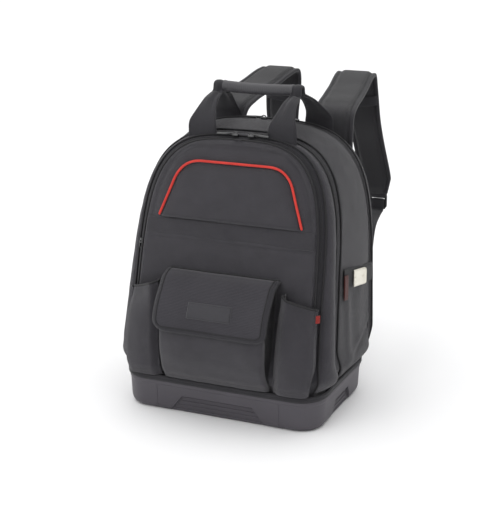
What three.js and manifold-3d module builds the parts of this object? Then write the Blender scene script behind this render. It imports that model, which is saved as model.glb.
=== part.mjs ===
// A tool backpack: a fabric body on a moulded plastic tray, with a zipped front compartment, three front
// pockets, a webbing carry handle with a round grip, side compression straps and padded shoulder straps.
// Millimetres. +Z up, the front faces -Y, +X is to the right of someone looking at the front.
// The origin is the middle of the tray's underside.
import * as THREE from "three";
import { mergeVertices } from "three/addons/utils/BufferGeometryUtils.js";
import Module from "manifold-3d";

const wasm = await Module();
wasm.setup();

// Driving dimensions

const SEAM = 0.3; // clearance between pieces that touch on the real bag

const TRAY_WIDTH = 350;
const TRAY_DEPTH = 245;
const TRAY_HEIGHT = 52;
const TRAY_CORNER = 44;
const TRAY_WALL = 3.5;
const TRAY_FLOOR = 4;
const TRAY_DRAFT = 2.5; // how much narrower each side is at the foot
const TRAY_CHAMFER = 5;
const RECESS_DEPTH = 7;
const RECESS_HEIGHT = 30;
const RECESS_HALF_FOOT = 87; // front and back recess
const RECESS_HALF_TOP = 63;
const SIDE_RECESS_HALF_FOOT = 46;
const SIDE_RECESS_HALF_TOP = 30;
const RECESS_RIBS = 3;
const RIB_HEIGHT = 2.4;
const RIB_PROUD = 2.2;

const BODY_HEIGHT = 462; // top of the main compartment
const BODY_HALF = 182; // half width of the main compartment
const WALL = 3; // padded fabric
const CLOTH = 2; // single layers sewn on the front
const BODY_SINK = 10; // how far the fabric goes down inside the tray's rim
const FOOT_PLAY = 4.5; // between the fabric and the tray's wall
const BINDING_HEIGHT = 10;
const BINDING_WALL = 3;
const BINDING_PROUD = 3; // how far the binding stands outside the tray
const SAG = 14; // how far the fabric hangs over the tray's outline
const SAG_Z = 84; // at this height
const BELLY_Z = 112; // the body has its full width from here
const SHOULDER_Z = 240; // and starts to arch over here
const ARCH_POWER = 3.4; // roundness of the arch: 2 is an ellipse
const BOW = 5; // how far the front and the back swell half way up
const ARCH_STEPS = 11; // facets on each shoulder
const BACK_WALL = 4;
const ZIP_SINK = 1.2; // a zip's tape lies this much below the fabric
const PIPING_RADIUS = 2.2;

const UPPER_PANEL_FOOT = 319;
const UPPER_PANEL_TOP = 408;
const UPPER_PANEL_HALF_FOOT = 123;
const UPPER_PANEL_HALF_TOP = 91; // were its corners not round
const UPPER_PANEL_CORNER = 32;
const LOWER_PANEL_TOP = 293;
const HEM_HEIGHT = 24;
const HEM_THICK = 3;
const PANEL_MARGIN = 2.5; // from the front panel's edge to what is sewn on it

const POCKET_FOOT = 64;
const POCKET_TOP = 232;
const POCKET_HALF = 93;
const POCKET_SWELL = [9, 20, 26, 28, 26, 14, -11]; // its front, out from the tray's, foot to top
const POCKET_CORNER = 9;
const POCKET_WALL = 2.5;
const FLAP_HALF = 99;
const FLAP_LENGTH = 84; // hanging part
const FLAP_THICK = 3;
const FLAP_CORNER = 18;
const FLAP_GAP = 2.4;
const LABEL_WIDTH = 77;
const LABEL_HEIGHT = 27;
const LABEL_THICK = 2;
const SIDE_POCKET_FOOT_INNER = 98.5;
const SIDE_POCKET_INNER = 107;
const SIDE_POCKET_TOP = 222; // at its inner edge
const SIDE_POCKET_SLOPE = 0.36; // its mouth falls outwards
const SIDE_POCKET_FRONT = -121; // front of the mouth at its inner edge
const SIDE_POCKET_REAR = -97; // and at its outer edge
const SIDE_POCKET_FOOT_FRONT = 11; // the same at its foot, out from the tray
const SIDE_POCKET_FOOT_REAR = 9;
const SIDE_POCKET_OVERHANG = 4; // past the front panel's edge
const SIDE_POCKET_SWELL = 4;

const WEBBING = 50; // handle webbing width
const WEBBING_THICK = 2.6;
const HANDLE_SPREAD = 70; // centre of a front leg's foot from the bag's middle
const HANDLE_FRONT = -17; // its distance from the bag's middle, front to back
const HANDLE_REAR = 116; // the same for a rear leg's foot
const HANDLE_REACH = 69; // from a front foot to the grip, front to back
const HANDLE_RISE = 60; // from the body's top up to the grip
const LEG_TOP_WIDTH = 15; // the webbing is folded narrow at the grip
const GRIP_LENGTH = 126;
const GRIP_RADIUS = 9.5;
const GRIP_CORE = 5.5;
const GRIP_RIBS = 12;
const GRIP_SEGMENTS = 14;

const BACK_PAD_THICK = 12;
const BACK_PAD_HALF = 136;
const BACK_PAD_DROP = 90; // its top, down from the body's
const STRAP_WIDTH = 70;
const STRAP_END_WIDTH = 58; // it is narrower below its crest
const STRAP_THICK = 12;
const STRAP_ROOT = 100; // centre of a shoulder strap from the bag's middle, at its root
const STRAP_CREST = 73; // the same at its crest
const STRAP_REACH = 336; // how far behind the bag's middle the crest is
// Bends of a strap's line: across, back and up, first from its root, then from its crest, its reach and the
// body's top.
const STRAP_RISES = [[0, 1, 30], [-3, 14, 62], [-7, 45, 76]];
const STRAP_FALLS = [[12, -86, 31], [3, -21, 47], [1, 0, 45], [2, 11, 18], [8, 22, -38], [14, 44, -98], [21, 58, -150],
  [24, 66, -188]];
const STRAP_BAND_THICK = 2;
const YOKE_GAP = 30; // from the back pad's top to the straps' roots, filled by the yoke
const YOKE_THICK = 5;
const LOWER_WEBBING = 25;
const LOWER_WEBBING_THICK = 2;
const BUCKLE_WIDTH = 32;
const BUCKLE_LENGTH = 28;
const BUCKLE_THICK = 6;
const LOWER_BEND = [21, -112, -41]; // of the webbing below a strap: across, back and up from the strap's end
const ANCHOR_Z = 120;
const ANCHOR_X = 156;

const SIDE_STRAP_Z = 229; // at its front end
const SIDE_STRAP_DROP = 18; // how much lower its rear end is
const SIDE_STRAP_WIDTH = 25;
const SIDE_STRAP_FROM = -15;
const SIDE_STRAP_TO = 104;
const SIDE_STRAP_CLEAR = 1.4; // keeps it off the fabric between the body's bends
const FOLD_LENGTH = 20;
const HOOK_FROM = 17;
const HOOK_LENGTH = 51;
const HOOK_HEIGHT = 29;
const HOOK_THICK = 2;
const PULL_LENGTH = 26;

const RIM = TRAY_HEIGHT;
const BODY_FOOT = RIM - BODY_SINK;
const BACK_PAD_TOP = BODY_HEIGHT - BACK_PAD_DROP;
const BAND_TOP = RIM + BINDING_HEIGHT;
const FRONT_TOP = BODY_HEIGHT - 15; // top of the front panel
const TRAY_HALF = TRAY_WIDTH / 2;
const TRAY_BACK = TRAY_DEPTH / 2;

const smooth = (t) => {
  const s = Math.min(1, Math.max(0, t));
  return s * s * (3 - 2 * s);
};
const mix = (a, b, t) => a + (b - a) * t;

// The point on the tray's outline at a distance y from its middle, moved outwards.
function trayPoint(y, outset) {
  const straight = TRAY_BACK - TRAY_CORNER;
  const turn = Math.asin(Math.min(1, Math.max(0, (Math.abs(y) - straight) / TRAY_CORNER)));
  return {
    half: TRAY_HALF - TRAY_CORNER + (TRAY_CORNER + outset) * Math.cos(turn),
    y: Math.sign(y) * (Math.min(Math.abs(y), straight) + (TRAY_CORNER + outset) * Math.sin(turn)),
  };
}

// The body's arches from front to back. Each stands in the tray at foot, a share of half the tray's depth,
// hangs over the rim by its share of SAG, swells to its full half width and its own y at BELLY_Z, and
// narrows by taper up to its top.
function arch(foot, belly, crown, widthShare, taper, drop, sagShare = 1) {
  const top = BODY_HEIGHT - drop;
  const full = widthShare * BODY_HALF;
  const inside = trayPoint(foot * TRAY_BACK, -TRAY_WALL - FOOT_PLAY);
  const sag = trayPoint(foot * TRAY_BACK, SAG * sagShare);
  const levels = [
    [BODY_FOOT, inside.half, inside.y],
    [BAND_TOP + 1, inside.half, inside.y],
    [SAG_Z, sag.half, sag.y],
    [BELLY_Z, full, belly * TRAY_BACK],
  ];
  return { levels, full, taper, top, yBelly: belly * TRAY_BACK, yTop: crown * TRAY_BACK };
}
const ARCHES = {
  panelEdge: arch(-0.95, -0.86, -0.23, 0.862, 22, BODY_HEIGHT - FRONT_TOP, 0.2),
  frontZipBack: arch(-0.857, -0.82, -0.15, 0.907, 18, 10, 0.5),
  gussetMiddle: arch(-0.67, -0.7, -0.12, 1.03, 40, 9),
  midZipFront: arch(-0.51, -0.5, -0.06, 0.962, 14, 8, 0.8),
  midZipBack: arch(-0.31, -0.32, 0.08, 0.967, 14, 6, 0.7),
  waist: arch(0.3, 0.3, 0.38, 1, 10, 2, 0.7),
  rearZipFront: arch(0.77, 0.84, 0.66, 1.016, 8, 0),
  rearZipBack: arch(0.84, 0.94, 0.76, 1.016, 8, 0),
  backEdge: arch(0.93, 1.13, 0.97, 0.982, 6, 8),
};

const archWidth = (row, z) => row.full - (row.taper * (z - BELLY_Z)) / (row.top - BELLY_Z);

function archHalf(row, z) {
  const rise = Math.min(1, Math.max(0, (z - SHOULDER_Z) / (row.top - SHOULDER_Z)));
  if (z >= BELLY_Z) return archWidth(row, z) * (1 - rise ** ARCH_POWER) ** (1 / ARCH_POWER);
  const above = row.levels.findIndex((level) => level[0] > z);
  if (above <= 0) return row.levels[0][1];
  const [low, high] = [row.levels[above - 1], row.levels[above]];
  return mix(low[1], high[1], (z - low[0]) / (high[0] - low[0]));
}

function archY(row, z) {
  if (z >= BELLY_Z) {
    const t = (z - BELLY_Z) / (row.top - BELLY_Z);
    return mix(row.yBelly, row.yTop, t) + Math.sign(row.yBelly) * BOW * 4 * t * (1 - t);
  }
  const above = row.levels.findIndex((level) => level[0] > z);
  if (above <= 0) return row.levels[0][2];
  const [low, high] = [row.levels[above - 1], row.levels[above]];
  return mix(low[2], high[2], (z - low[0]) / (high[0] - low[0]));
}

// The points of one arch from the left foot over the top to the right foot, moved inwards by inset.
function archPoints(row, inset, shift = 0, foot = BODY_FOOT) {
  const low = [BODY_FOOT, BAND_TOP + 1, SAG_Z, mix(SAG_Z, BELLY_Z, 0.5)];
  const straight = [...low, BELLY_Z, mix(BELLY_Z, SHOULDER_Z, 0.5)];
  const right = straight.filter((z) => z >= foot).map((z) => [archHalf(row, z) - inset, z]);
  for (let i = 0; i <= ARCH_STEPS; i++) {
    const turn = (i / ARCH_STEPS) * (Math.PI / 2);
    const across = i === ARCH_STEPS ? 0 : Math.cos(turn) ** (2 / ARCH_POWER);
    const z = SHOULDER_Z + (row.top - inset - SHOULDER_Z) * Math.sin(turn) ** (2 / ARCH_POWER);
    right.push([(archWidth(row, z) - inset) * across, z]);
  }
  const point = ([x, z]) => new THREE.Vector3(x, archY(row, z) + shift, z);
  const left = right.slice(0, -1).map(([x, z]) => point([-x, z]));
  return [...left, ...right.map(point).reverse()];
}

// Geometry helpers

// A closed solid through closed sections of the same number of points. Each cap is cut into strips between
// the section's two ends, so a section's points run down one side and back up the other.
function loft(sections) {
  const n = sections[0].length;
  const positions = sections.flat().flatMap((p) => [p.x, p.y, p.z]);
  const index = [];
  for (let s = 0; s + 1 < sections.length; s++)
    for (let i = 0; i < n; i++) {
      const a = s * n + i;
      const b = s * n + ((i + 1) % n);
      index.push(a, b, b + n, a, b + n, a + n);
    }
  const cap = (start, flip) => {
    for (let i = 0; i + 1 < n - 1 - i; i++) {
      const [a, b, c, d] = [i, i + 1, n - 2 - i, n - 1 - i].map((k) => start + k);
      const triangles = b === c ? [[a, b, d]] : [[a, b, c], [a, c, d]];
      for (const t of triangles) index.push(...(flip ? [t[0], t[2], t[1]] : t));
    }
  };
  cap(0, true);
  cap((sections.length - 1) * n, false);
  return facingOut(positions, index);
}

function facingOut(positions, index) {
  let volume = 0;
  const at = (i) => new THREE.Vector3(positions[3 * i], positions[3 * i + 1], positions[3 * i + 2]);
  for (let t = 0; t < index.length; t += 3)
    volume += at(index[t]).dot(at(index[t + 1]).cross(at(index[t + 2])));
  const turned = [];
  for (let t = 0; t < index.length; t += 3) turned.push(index[t], index[t + 2], index[t + 1]);
  const geometry = new THREE.BufferGeometry();
  geometry.setAttribute("position", new THREE.Float32BufferAttribute(positions, 3));
  geometry.setIndex(volume < 0 ? turned : index);
  return geometry;
}

function solidOf(geometry) {
  const bare = geometry.clone();
  bare.deleteAttribute("normal");
  bare.deleteAttribute("uv");
  const merged = mergeVertices(bare, 1e-4);
  return new wasm.Manifold(
    new wasm.Mesh({
      numProp: 3,
      vertProperties: new Float32Array(merged.attributes.position.array),
      triVerts: new Uint32Array(merged.index.array),
    }),
  );
}

function geometryOf(solid) {
  const mesh = solid.getMesh();
  const geometry = new THREE.BufferGeometry();
  geometry.setAttribute("position", new THREE.BufferAttribute(mesh.vertProperties, 3));
  geometry.setIndex(new THREE.BufferAttribute(mesh.triVerts, 1));
  return geometry;
}

const box = (width, depth, height, x, y, z) => new THREE.BoxGeometry(width, depth, height).translate(x, y, z);

function roundedRing(halfWidth, halfDepth, corner, z, steps = 6) {
  const points = [];
  const centres = [[1, -1, -90], [1, 1, 0], [-1, 1, 90], [-1, -1, 180]];
  for (const [sx, sy, from] of centres)
    for (let i = 0; i <= steps; i++) {
      const a = THREE.MathUtils.degToRad(from + (90 * i) / steps);
      const x = sx * (halfWidth - corner) + corner * Math.cos(a);
      const y = sy * (halfDepth - corner) + corner * Math.sin(a);
      points.push(new THREE.Vector3(x, y, z));
    }
  return points;
}

// A flat strip of webbing: at each row a centre, the direction of its width, its normal, width and thickness.
function strip(rows) {
  return loft(
    rows.map(({ centre, across, normal, width, thick }) => {
      const corner = (w, t) =>
        centre.clone().addScaledVector(across, (w * width) / 2).addScaledVector(normal, (t * thick) / 2);
      return [corner(-1, 1), corner(1, 1), corner(1, -1), corner(-1, -1)];
    }),
  );
}

const vector = ([x, y, z]) => new THREE.Vector3(x, y, z);

// A strip along a smooth path, its width across X, lifted off the path along its normal. Width and thickness
// are functions of the share of the path, which may run between from and to.
function ribbon(points, count, width, thick, { lift = 0, from = 0, to = 1 } = {}) {
  const path = new THREE.CatmullRomCurve3(points.map(vector), false, "centripetal");
  const rows = [];
  for (let i = 0; i <= count; i++) {
    const share = mix(from, to, i / count);
    const tangent = path.getTangentAt(share);
    const across = new THREE.Vector3(1, 0, 0).addScaledVector(tangent, -tangent.x).normalize();
    const normal = tangent.clone().cross(across).normalize();
    const centre = path.getPointAt(share).addScaledVector(normal, lift);
    rows.push({ centre, across, normal, width: width(share), thick: thick(share) });
  }
  return strip(rows);
}

const mirrored = (geometry) => {
  const turned = solidOf(geometry).mirror([1, 0, 0]);
  return geometryOf(turned);
};

// Materials

const material = (color, roughness, metalness = 0) =>
  new THREE.MeshStandardMaterial({ color, roughness, metalness });
const MATERIALS = {
  body: material(0x2b2a2e, 0.85),
  lining: material(0x151518, 0.9),
  webbing: material(0x1c1b1f, 0.8),
  trim: material(0x111113, 0.7),
  red: material(0xd2302c, 0.6),
  plastic: material(0x37353a, 0.55),
  rubber: material(0x2a292d, 0.6),
  label: material(0x55545a, 0.6),
  metal: material(0xd8d4c8, 0.35, 0.9),
};

const backpack = new THREE.Group();
function add(name, geometry, finish) {
  const mesh = new THREE.Mesh(geometry, MATERIALS[finish]);
  mesh.name = name;
  backpack.add(mesh);
  return mesh;
}
function addPair(name, geometry, finish) {
  add(name + "_right", geometry, finish);
  add(name + "_left", mirrored(geometry), finish);
}

// Tray

function trayRing(inset, z) {
  const draft = TRAY_DRAFT * (1 - z / TRAY_HEIGHT);
  const shrink = inset + draft;
  return roundedRing(TRAY_HALF - shrink, TRAY_BACK - shrink, TRAY_CORNER - shrink, z);
}

// A trapezoid block through the front wall, as deep as given, standing on the floor plane.
function trapezoid(halfFoot, halfTop, height, depth, half) {
  const shape = new THREE.Shape([
    new THREE.Vector2(-halfFoot, -1),
    new THREE.Vector2(halfFoot, -1),
    new THREE.Vector2(halfTop, height),
    new THREE.Vector2(-halfTop, height),
  ]);
  const block = new THREE.ExtrudeGeometry(shape, { depth: depth + 10, bevelEnabled: false });
  return block.rotateX(Math.PI / 2).translate(0, -half + depth, 0);
}

function makeTray() {
  const outer = solidOf(loft([trayRing(TRAY_CHAMFER, 0), trayRing(0, TRAY_CHAMFER), trayRing(0, TRAY_HEIGHT)]));
  const cavityRings = [TRAY_FLOOR, TRAY_HEIGHT + 1].map((z) => trayRing(TRAY_WALL, z));
  let cavity = solidOf(loft(cavityRings));
  let tray = outer;
  const sides = [
    [0, RECESS_HALF_FOOT, RECESS_HALF_TOP, TRAY_BACK],
    [180, RECESS_HALF_FOOT, RECESS_HALF_TOP, TRAY_BACK],
    [90, SIDE_RECESS_HALF_FOOT, SIDE_RECESS_HALF_TOP, TRAY_HALF],
    [270, SIDE_RECESS_HALF_FOOT, SIDE_RECESS_HALF_TOP, TRAY_HALF],
  ];
  const ribs = [];
  for (const [turn, halfFoot, halfTop, half] of sides) {
    const recess = solidOf(trapezoid(halfFoot, halfTop, RECESS_HEIGHT, RECESS_DEPTH, half));
    const grown = [halfFoot, halfTop, RECESS_HEIGHT, RECESS_DEPTH].map((size) => size + TRAY_WALL);
    const backing = solidOf(trapezoid(...grown, half));
    cavity = cavity.subtract(backing.rotate([0, 0, turn]));
    tray = tray.subtract(recess.rotate([0, 0, turn]));
    for (let i = 0; i < RECESS_RIBS; i++) {
      const z = (RECESS_HEIGHT * (i + 0.7)) / RECESS_RIBS;
      const ribHalf = mix(halfFoot, halfTop, z / RECESS_HEIGHT) - 1;
      const y = -half + RECESS_DEPTH - RIB_PROUD / 2 + 0.5;
      ribs.push(solidOf(box(2 * ribHalf, RIB_PROUD + 1, RIB_HEIGHT, 0, y, z)).rotate([0, 0, turn]));
    }
  }
  tray = tray.subtract(cavity);
  for (const rib of ribs) tray = tray.add(rib);
  return geometryOf(tray);
}

function makeBinding() {
  const ring = (out, z) => roundedRing(TRAY_HALF + out, TRAY_BACK + out, TRAY_CORNER + out, z);
  const outer = [RIM + SEAM, RIM + BINDING_HEIGHT].map((z) => ring(BINDING_PROUD, z));
  const inner = [RIM - 1, RIM + BINDING_HEIGHT + 1].map((z) => ring(BINDING_PROUD - BINDING_WALL, z));
  return solidOf(loft(outer)).subtract(solidOf(loft(inner)));
}

// Body

// The fabric between arches, as one bent wall with its feet in the tray.
function band(rows, wall, sink = 0) {
  const last = rows.length - 1;
  const shifts = rows.map((row, i) => (i === 0 ? SEAM / 2 : i === last ? -SEAM / 2 : 0));
  const outer = rows.map((row, i) => archPoints(row, sink, shifts[i]));
  const inner = rows.map((row, i) => archPoints(row, sink + wall, shifts[i]));
  const section = (k) => [...outer.map((line) => line[k]), ...inner.map((line) => line[k]).reverse()];
  return loft(outer[0].map((_, k) => section(k)));
}

// A closed plate whose outline is an arch.
function archPlate(row, inset, shift, thick) {
  return loft([archPoints(row, inset, shift), archPoints(row, inset, shift + thick)]);
}

// The front panel's plane, which every front piece is placed on. Proud is the distance in front of it.
const frontY = (z, proud = 0) => archY(ARCHES.panelEdge, z) - proud;
const frontPoint = (x, z, proud) => new THREE.Vector3(x, frontY(z, proud), z);

// A sewn-on layer whose half width is given at each height.
function frontLayer(levels, proud, thick) {
  const section = (offset) => {
    const right = levels.map(([z, half]) => frontPoint(half, z, offset));
    const left = levels.map(([z, half]) => frontPoint(-half, z, offset));
    return [...left, ...right.reverse()];
  };
  return loft([section(proud), section(proud + thick)]);
}

const panelHalf = (z) => archHalf(ARCHES.panelEdge, z) - PANEL_MARGIN;

// The heights at which the front panel bends.
const SHEET_LEVELS = [SAG_Z, mix(SAG_Z, BELLY_Z, 0.5), BELLY_Z];

function addBody() {
  const rows = ARCHES;
  const binding = makeBinding();
  const walls = {
    front_panel: archPlate(rows.panelEdge, 0, 0, WALL),
    front_zip: band([rows.panelEdge, rows.frontZipBack], WALL - ZIP_SINK, ZIP_SINK),
    mid_gusset: band([rows.frontZipBack, rows.gussetMiddle, rows.midZipFront], WALL),
    mid_zip: band([rows.midZipFront, rows.midZipBack], WALL - ZIP_SINK, ZIP_SINK),
    rear_gusset: band([rows.midZipBack, rows.waist, rows.rearZipFront], WALL),
    rear_zip: band([rows.rearZipFront, rows.rearZipBack], WALL - ZIP_SINK, ZIP_SINK),
    back_edge: band([rows.rearZipBack, rows.backEdge], WALL),
    back_wall: archPlate(rows.backEdge, 0, SEAM / 2, BACK_WALL),
  };
  // The front panel lies just in front of the first band.
  walls.front_panel.translate(0, -WALL, 0);
  const finishes = { front_zip: "lining", mid_zip: "lining", rear_zip: "lining" };
  let cut = binding;
  for (const [name, geometry] of Object.entries(walls)) {
    cut = cut.subtract(solidOf(geometry));
    add(name, geometry, finishes[name] || "body");
  }
  add("base_binding", geometryOf(biggest(cut)), "webbing");
}

const biggest = (solid) => solid.decompose().reduce((a, b) => (a.volume() > b.volume() ? a : b));

// A cord sewn along an arch: six-sided, lying on the fabric.
function archCord(row, shift, radius, foot) {
  const profile = [[0, -0.5], [0, 0.5], [1, 1], [2, 0.5], [2, -0.5], [1, -1]];
  const lines = profile.map(([out, along]) =>
    archPoints(row, -2 * SEAM - out * radius, shift + along * radius, foot),
  );
  return loft(lines[0].map((_, k) => lines.map((line) => line[k])));
}

function addPipings() {
  const places = {
    piping_front: [ARCHES.panelEdge, -WALL / 2],
    piping_mid_front: [ARCHES.midZipFront, 0],
    piping_mid_back: [ARCHES.midZipBack, 0],
    piping_rear: [ARCHES.rearZipBack, 0],
  };
  const foot = BAND_TOP + 2;
  for (const [name, [row, shift]] of Object.entries(places))
    add(name, archCord(row, shift, PIPING_RADIUS, foot), "trim");
}

// The whole body grown by the clearance, for cutting what is sewn to it.
function bodyEnvelope(grow) {
  const rows = Object.values(ARCHES);
  const ends = [-WALL - grow, ...rows.slice(2).map(() => 0), BACK_WALL + grow];
  return solidOf(loft(rows.map((row, i) => archPoints(row, -grow, ends[i]))));
}

// Front pieces

const LAYER = WALL + SEAM; // the first layer sewn on the front panel starts here

function addFrontLayers() {
  const lower = [...SHEET_LEVELS, 150, 190, 240, LOWER_PANEL_TOP].map((z) => [z, panelHalf(z)]);
  add("lower_panel", frontLayer(lower, LAYER, CLOTH), "body");
  const hemFoot = LOWER_PANEL_TOP + SEAM;
  const hem = [hemFoot, hemFoot + HEM_HEIGHT].map((z) => [z, panelHalf(z)]);
  add("front_hem", frontLayer(hem, LAYER, HEM_THICK), "trim");

  const foot = UPPER_PANEL_FOOT;
  const rise = UPPER_PANEL_TOP - foot;
  const side = (z) => mix(UPPER_PANEL_HALF_FOOT, UPPER_PANEL_HALF_TOP, (z - foot) / rise);
  const levels = [[foot, side(foot)]];
  const bend = UPPER_PANEL_TOP - UPPER_PANEL_CORNER;
  for (let i = 0; i <= 5; i++) {
    const t = i / 5;
    const [from, to] = [side(bend), UPPER_PANEL_HALF_TOP - UPPER_PANEL_CORNER];
    const half = mix(mix(from, UPPER_PANEL_HALF_TOP, t), mix(UPPER_PANEL_HALF_TOP, to, t), t);
    levels.push([bend + UPPER_PANEL_CORNER * (1 - (1 - t) ** 2), half]);
  }
  add("upper_panel", frontLayer(levels, LAYER, WALL), "body");

  // The piping follows the panel's edge over its top.
  const up = levels.map(([z, half]) => [half, z]);
  const edge = [...up, ...up.toReversed().map(([x, z]) => [-x, z])];
  const rings = edge.map(([x, z], i) => {
    const [before, after] = [edge[Math.max(0, i - 1)], edge[Math.min(edge.length - 1, i + 1)]];
    const [dx, dz] = [after[0] - before[0], after[1] - before[1]];
    const long = Math.hypot(dx, dz);
    return Array.from({ length: 6 }, (_, k) => {
      const turn = (k / 6) * 2 * Math.PI;
      const out = PIPING_RADIUS * (1 + Math.cos(turn)) + 2 * SEAM;
      const proud = LAYER + PIPING_RADIUS * (1 + Math.sin(turn));
      return frontPoint(x + (out * dz) / long, z - (out * dx) / long, proud);
    });
  });
  add("red_piping", loft(rings), "red");
}

// The front of the middle pocket at a height, out from the tray's front.
function pocketFront(z) {
  const t = (z - POCKET_FOOT) / (POCKET_TOP - POCKET_FOOT);
  const last = POCKET_SWELL.length - 1;
  const i = Math.min(last - 1, Math.max(0, Math.floor(t * last)));
  return -TRAY_BACK - mix(POCKET_SWELL[i], POCKET_SWELL[i + 1], t * last - i);
}

function pocketSection(z, inset, back) {
  const half = POCKET_HALF - inset;
  const front = pocketFront(z) + inset;
  const corner = POCKET_CORNER - inset;
  const right = [];
  for (let i = 0; i <= 3; i++) {
    const turn = (i / 3) * (Math.PI / 2);
    const x = half - corner * (1 - Math.sin(turn));
    right.push(new THREE.Vector3(x, front + corner * (1 - Math.cos(turn)), z));
  }
  right.push(new THREE.Vector3(half, frontY(z, back), z));
  const left = right.map((p) => new THREE.Vector3(-p.x, p.y, p.z));
  return [...left.reverse(), ...right];
}

function addPocket() {
  const back = LAYER + CLOTH + SEAM;
  const levels = [POCKET_FOOT, ...SHEET_LEVELS, 140, 165, 190, 215, POCKET_TOP];
  const outer = solidOf(loft(levels.map((z) => pocketSection(z, 0, back))));
  const inner = levels.map((z, i) => {
    const lift = i === 0 ? POCKET_WALL : i === levels.length - 1 ? 1 : 0;
    return pocketSection(z, POCKET_WALL, back + POCKET_WALL).map((p) => new THREE.Vector3(p.x, p.y, p.z + lift));
  });
  add("front_pocket", geometryOf(outer.subtract(solidOf(loft(inner)))), "body");

  const out = FLAP_THICK / 2 + FLAP_GAP;
  const top = POCKET_TOP + out + 1;
  const hang = (share) => {
    const z = top - FLAP_LENGTH * share;
    return [0, pocketFront(Math.min(z, POCKET_TOP)) - out, z];
  };
  const path = [
    [0, frontY(top, back + SEAM), top],
    [0, mix(frontY(top, back), pocketFront(POCKET_TOP), 0.5), top + 2],
    [0, pocketFront(POCKET_TOP) + 8, top + 1],
    [0, pocketFront(POCKET_TOP) - out, top - 4],
    ...[0.25, 0.5, 0.75, 1].map(hang),
  ];
  const span = new THREE.CatmullRomCurve3(path.map(vector), false, "centripetal").getLength();
  const width = (share) => {
    const left = (1 - share) * span;
    if (left >= FLAP_CORNER) return 2 * FLAP_HALF;
    const into = 1 - left / FLAP_CORNER;
    return 2 * (FLAP_HALF - FLAP_CORNER * (1 - Math.sqrt(1 - into ** 2 * 0.98)));
  };
  add("pocket_flap", ribbon(path, 26, width, () => FLAP_THICK), "body");
  const middle = 1 - (FLAP_LENGTH / 2 - 2) / span;
  const reach = LABEL_HEIGHT / 2 / span;
  const place = { lift: (FLAP_THICK + LABEL_THICK) / 2 + SEAM, from: middle - reach, to: middle + reach };
  add("label", ribbon(path, 3, () => LABEL_WIDTH, () => LABEL_THICK, place), "label");
}

// One level of a side pocket. At the top its mouth falls outwards.
function sidePocketSection(z, inset, back) {
  const share = (z - POCKET_FOOT) / (SIDE_POCKET_TOP - POCKET_FOOT);
  const inner = mix(SIDE_POCKET_FOOT_INNER, SIDE_POCKET_INNER, share) + inset;
  const outer = archHalf(ARCHES.panelEdge, z) + SIDE_POCKET_OVERHANG - inset;
  const height = (x) => (share < 1 ? z : z - SIDE_POCKET_SLOPE * (x - inner));
  const swell = SIDE_POCKET_SWELL * (1 - (2 * share - 1) ** 2);
  const front = (x) => {
    const across = (x - inner) / (outer - inner);
    const foot = -TRAY_BACK - mix(SIDE_POCKET_FOOT_FRONT, SIDE_POCKET_FOOT_REAR, across);
    return mix(foot, mix(SIDE_POCKET_FRONT, SIDE_POCKET_REAR, across), share) - swell + inset;
  };
  const plane = (x) => frontY(height(x), back);
  const sheet = (x, more) => new THREE.Vector3(x, Math.min(front(x) + more, plane(x) - 2), height(x));
  const behind = (x) => new THREE.Vector3(x, plane(x), height(x));
  const middle = mix(inner, outer, 0.5);
  return [
    behind(inner),
    sheet(inner, 4),
    sheet(inner + 4, 0),
    sheet(middle, -3),
    sheet(outer - 3, 0),
    sheet(outer, 3),
    behind(outer),
    behind(middle),
  ];
}

function addSidePockets() {
  const back = LAYER + CLOTH + SEAM;
  const levels = [POCKET_FOOT, ...SHEET_LEVELS, 150, SIDE_POCKET_TOP - 36, SIDE_POCKET_TOP];
  const outer = solidOf(loft(levels.map((z) => sidePocketSection(z, 0, back))));
  const inner = levels.map((z, i) => {
    const rise = i === 0 ? POCKET_WALL : i === levels.length - 1 ? 1 : 0;
    const section = sidePocketSection(z, POCKET_WALL, back + POCKET_WALL);
    return section.map((p) => new THREE.Vector3(p.x, p.y, p.z + rise));
  });
  addPair("side_pocket", geometryOf(outer.subtract(solidOf(loft(inner)))), "body");
}

// A point on the body's side at a distance y and a height z, standing proud of the fabric.
function sidePoint(y, z, proud) {
  const rows = Object.values(ARCHES);
  const i = Math.max(1, rows.findIndex((row) => archY(row, z) >= y));
  const [front, back] = [rows[i - 1], rows[i]];
  const t = (y - archY(front, z)) / (archY(back, z) - archY(front, z));
  return new THREE.Vector3(mix(archHalf(front, z), archHalf(back, z), t) + proud, y, z);
}

// A strap lying on the side between two distances y, bent where the body's side bends.
function sideStrap(from, to, proud, height, thick) {
  const slope = SIDE_STRAP_DROP / (SIDE_STRAP_TO - SIDE_STRAP_FROM);
  const centreZ = (y) => SIDE_STRAP_Z - slope * (y - SIDE_STRAP_FROM);
  const folds = Object.values(ARCHES).map((row) => archY(row, SIDE_STRAP_Z));
  const bends = folds.filter((y) => y > from + 3 && y < to - 3);
  return strip(
    [from, ...bends, to].map((y) => ({
      centre: sidePoint(y, centreZ(y), proud + thick / 2 + SIDE_STRAP_CLEAR),
      across: new THREE.Vector3(0, 0, 1),
      normal: new THREE.Vector3(1, 0, 0),
      width: height,
      thick,
    })),
  );
}

function addSides() {
  const [from, height] = [SIDE_STRAP_FROM, SIDE_STRAP_WIDTH];
  const over = WEBBING_THICK + SEAM;
  addPair("side_strap", sideStrap(from, SIDE_STRAP_TO, 0, height, WEBBING_THICK), "webbing");
  addPair("side_strap_fold", sideStrap(from, from + FOLD_LENGTH, over, height, HOOK_THICK), "red");
  addPair("side_hook", sideStrap(HOOK_FROM, HOOK_FROM + HOOK_LENGTH, over, HOOK_HEIGHT, HOOK_THICK), "metal");
}

// Handle: one leg of webbing at each corner, folded narrow where it meets the grip.

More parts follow.
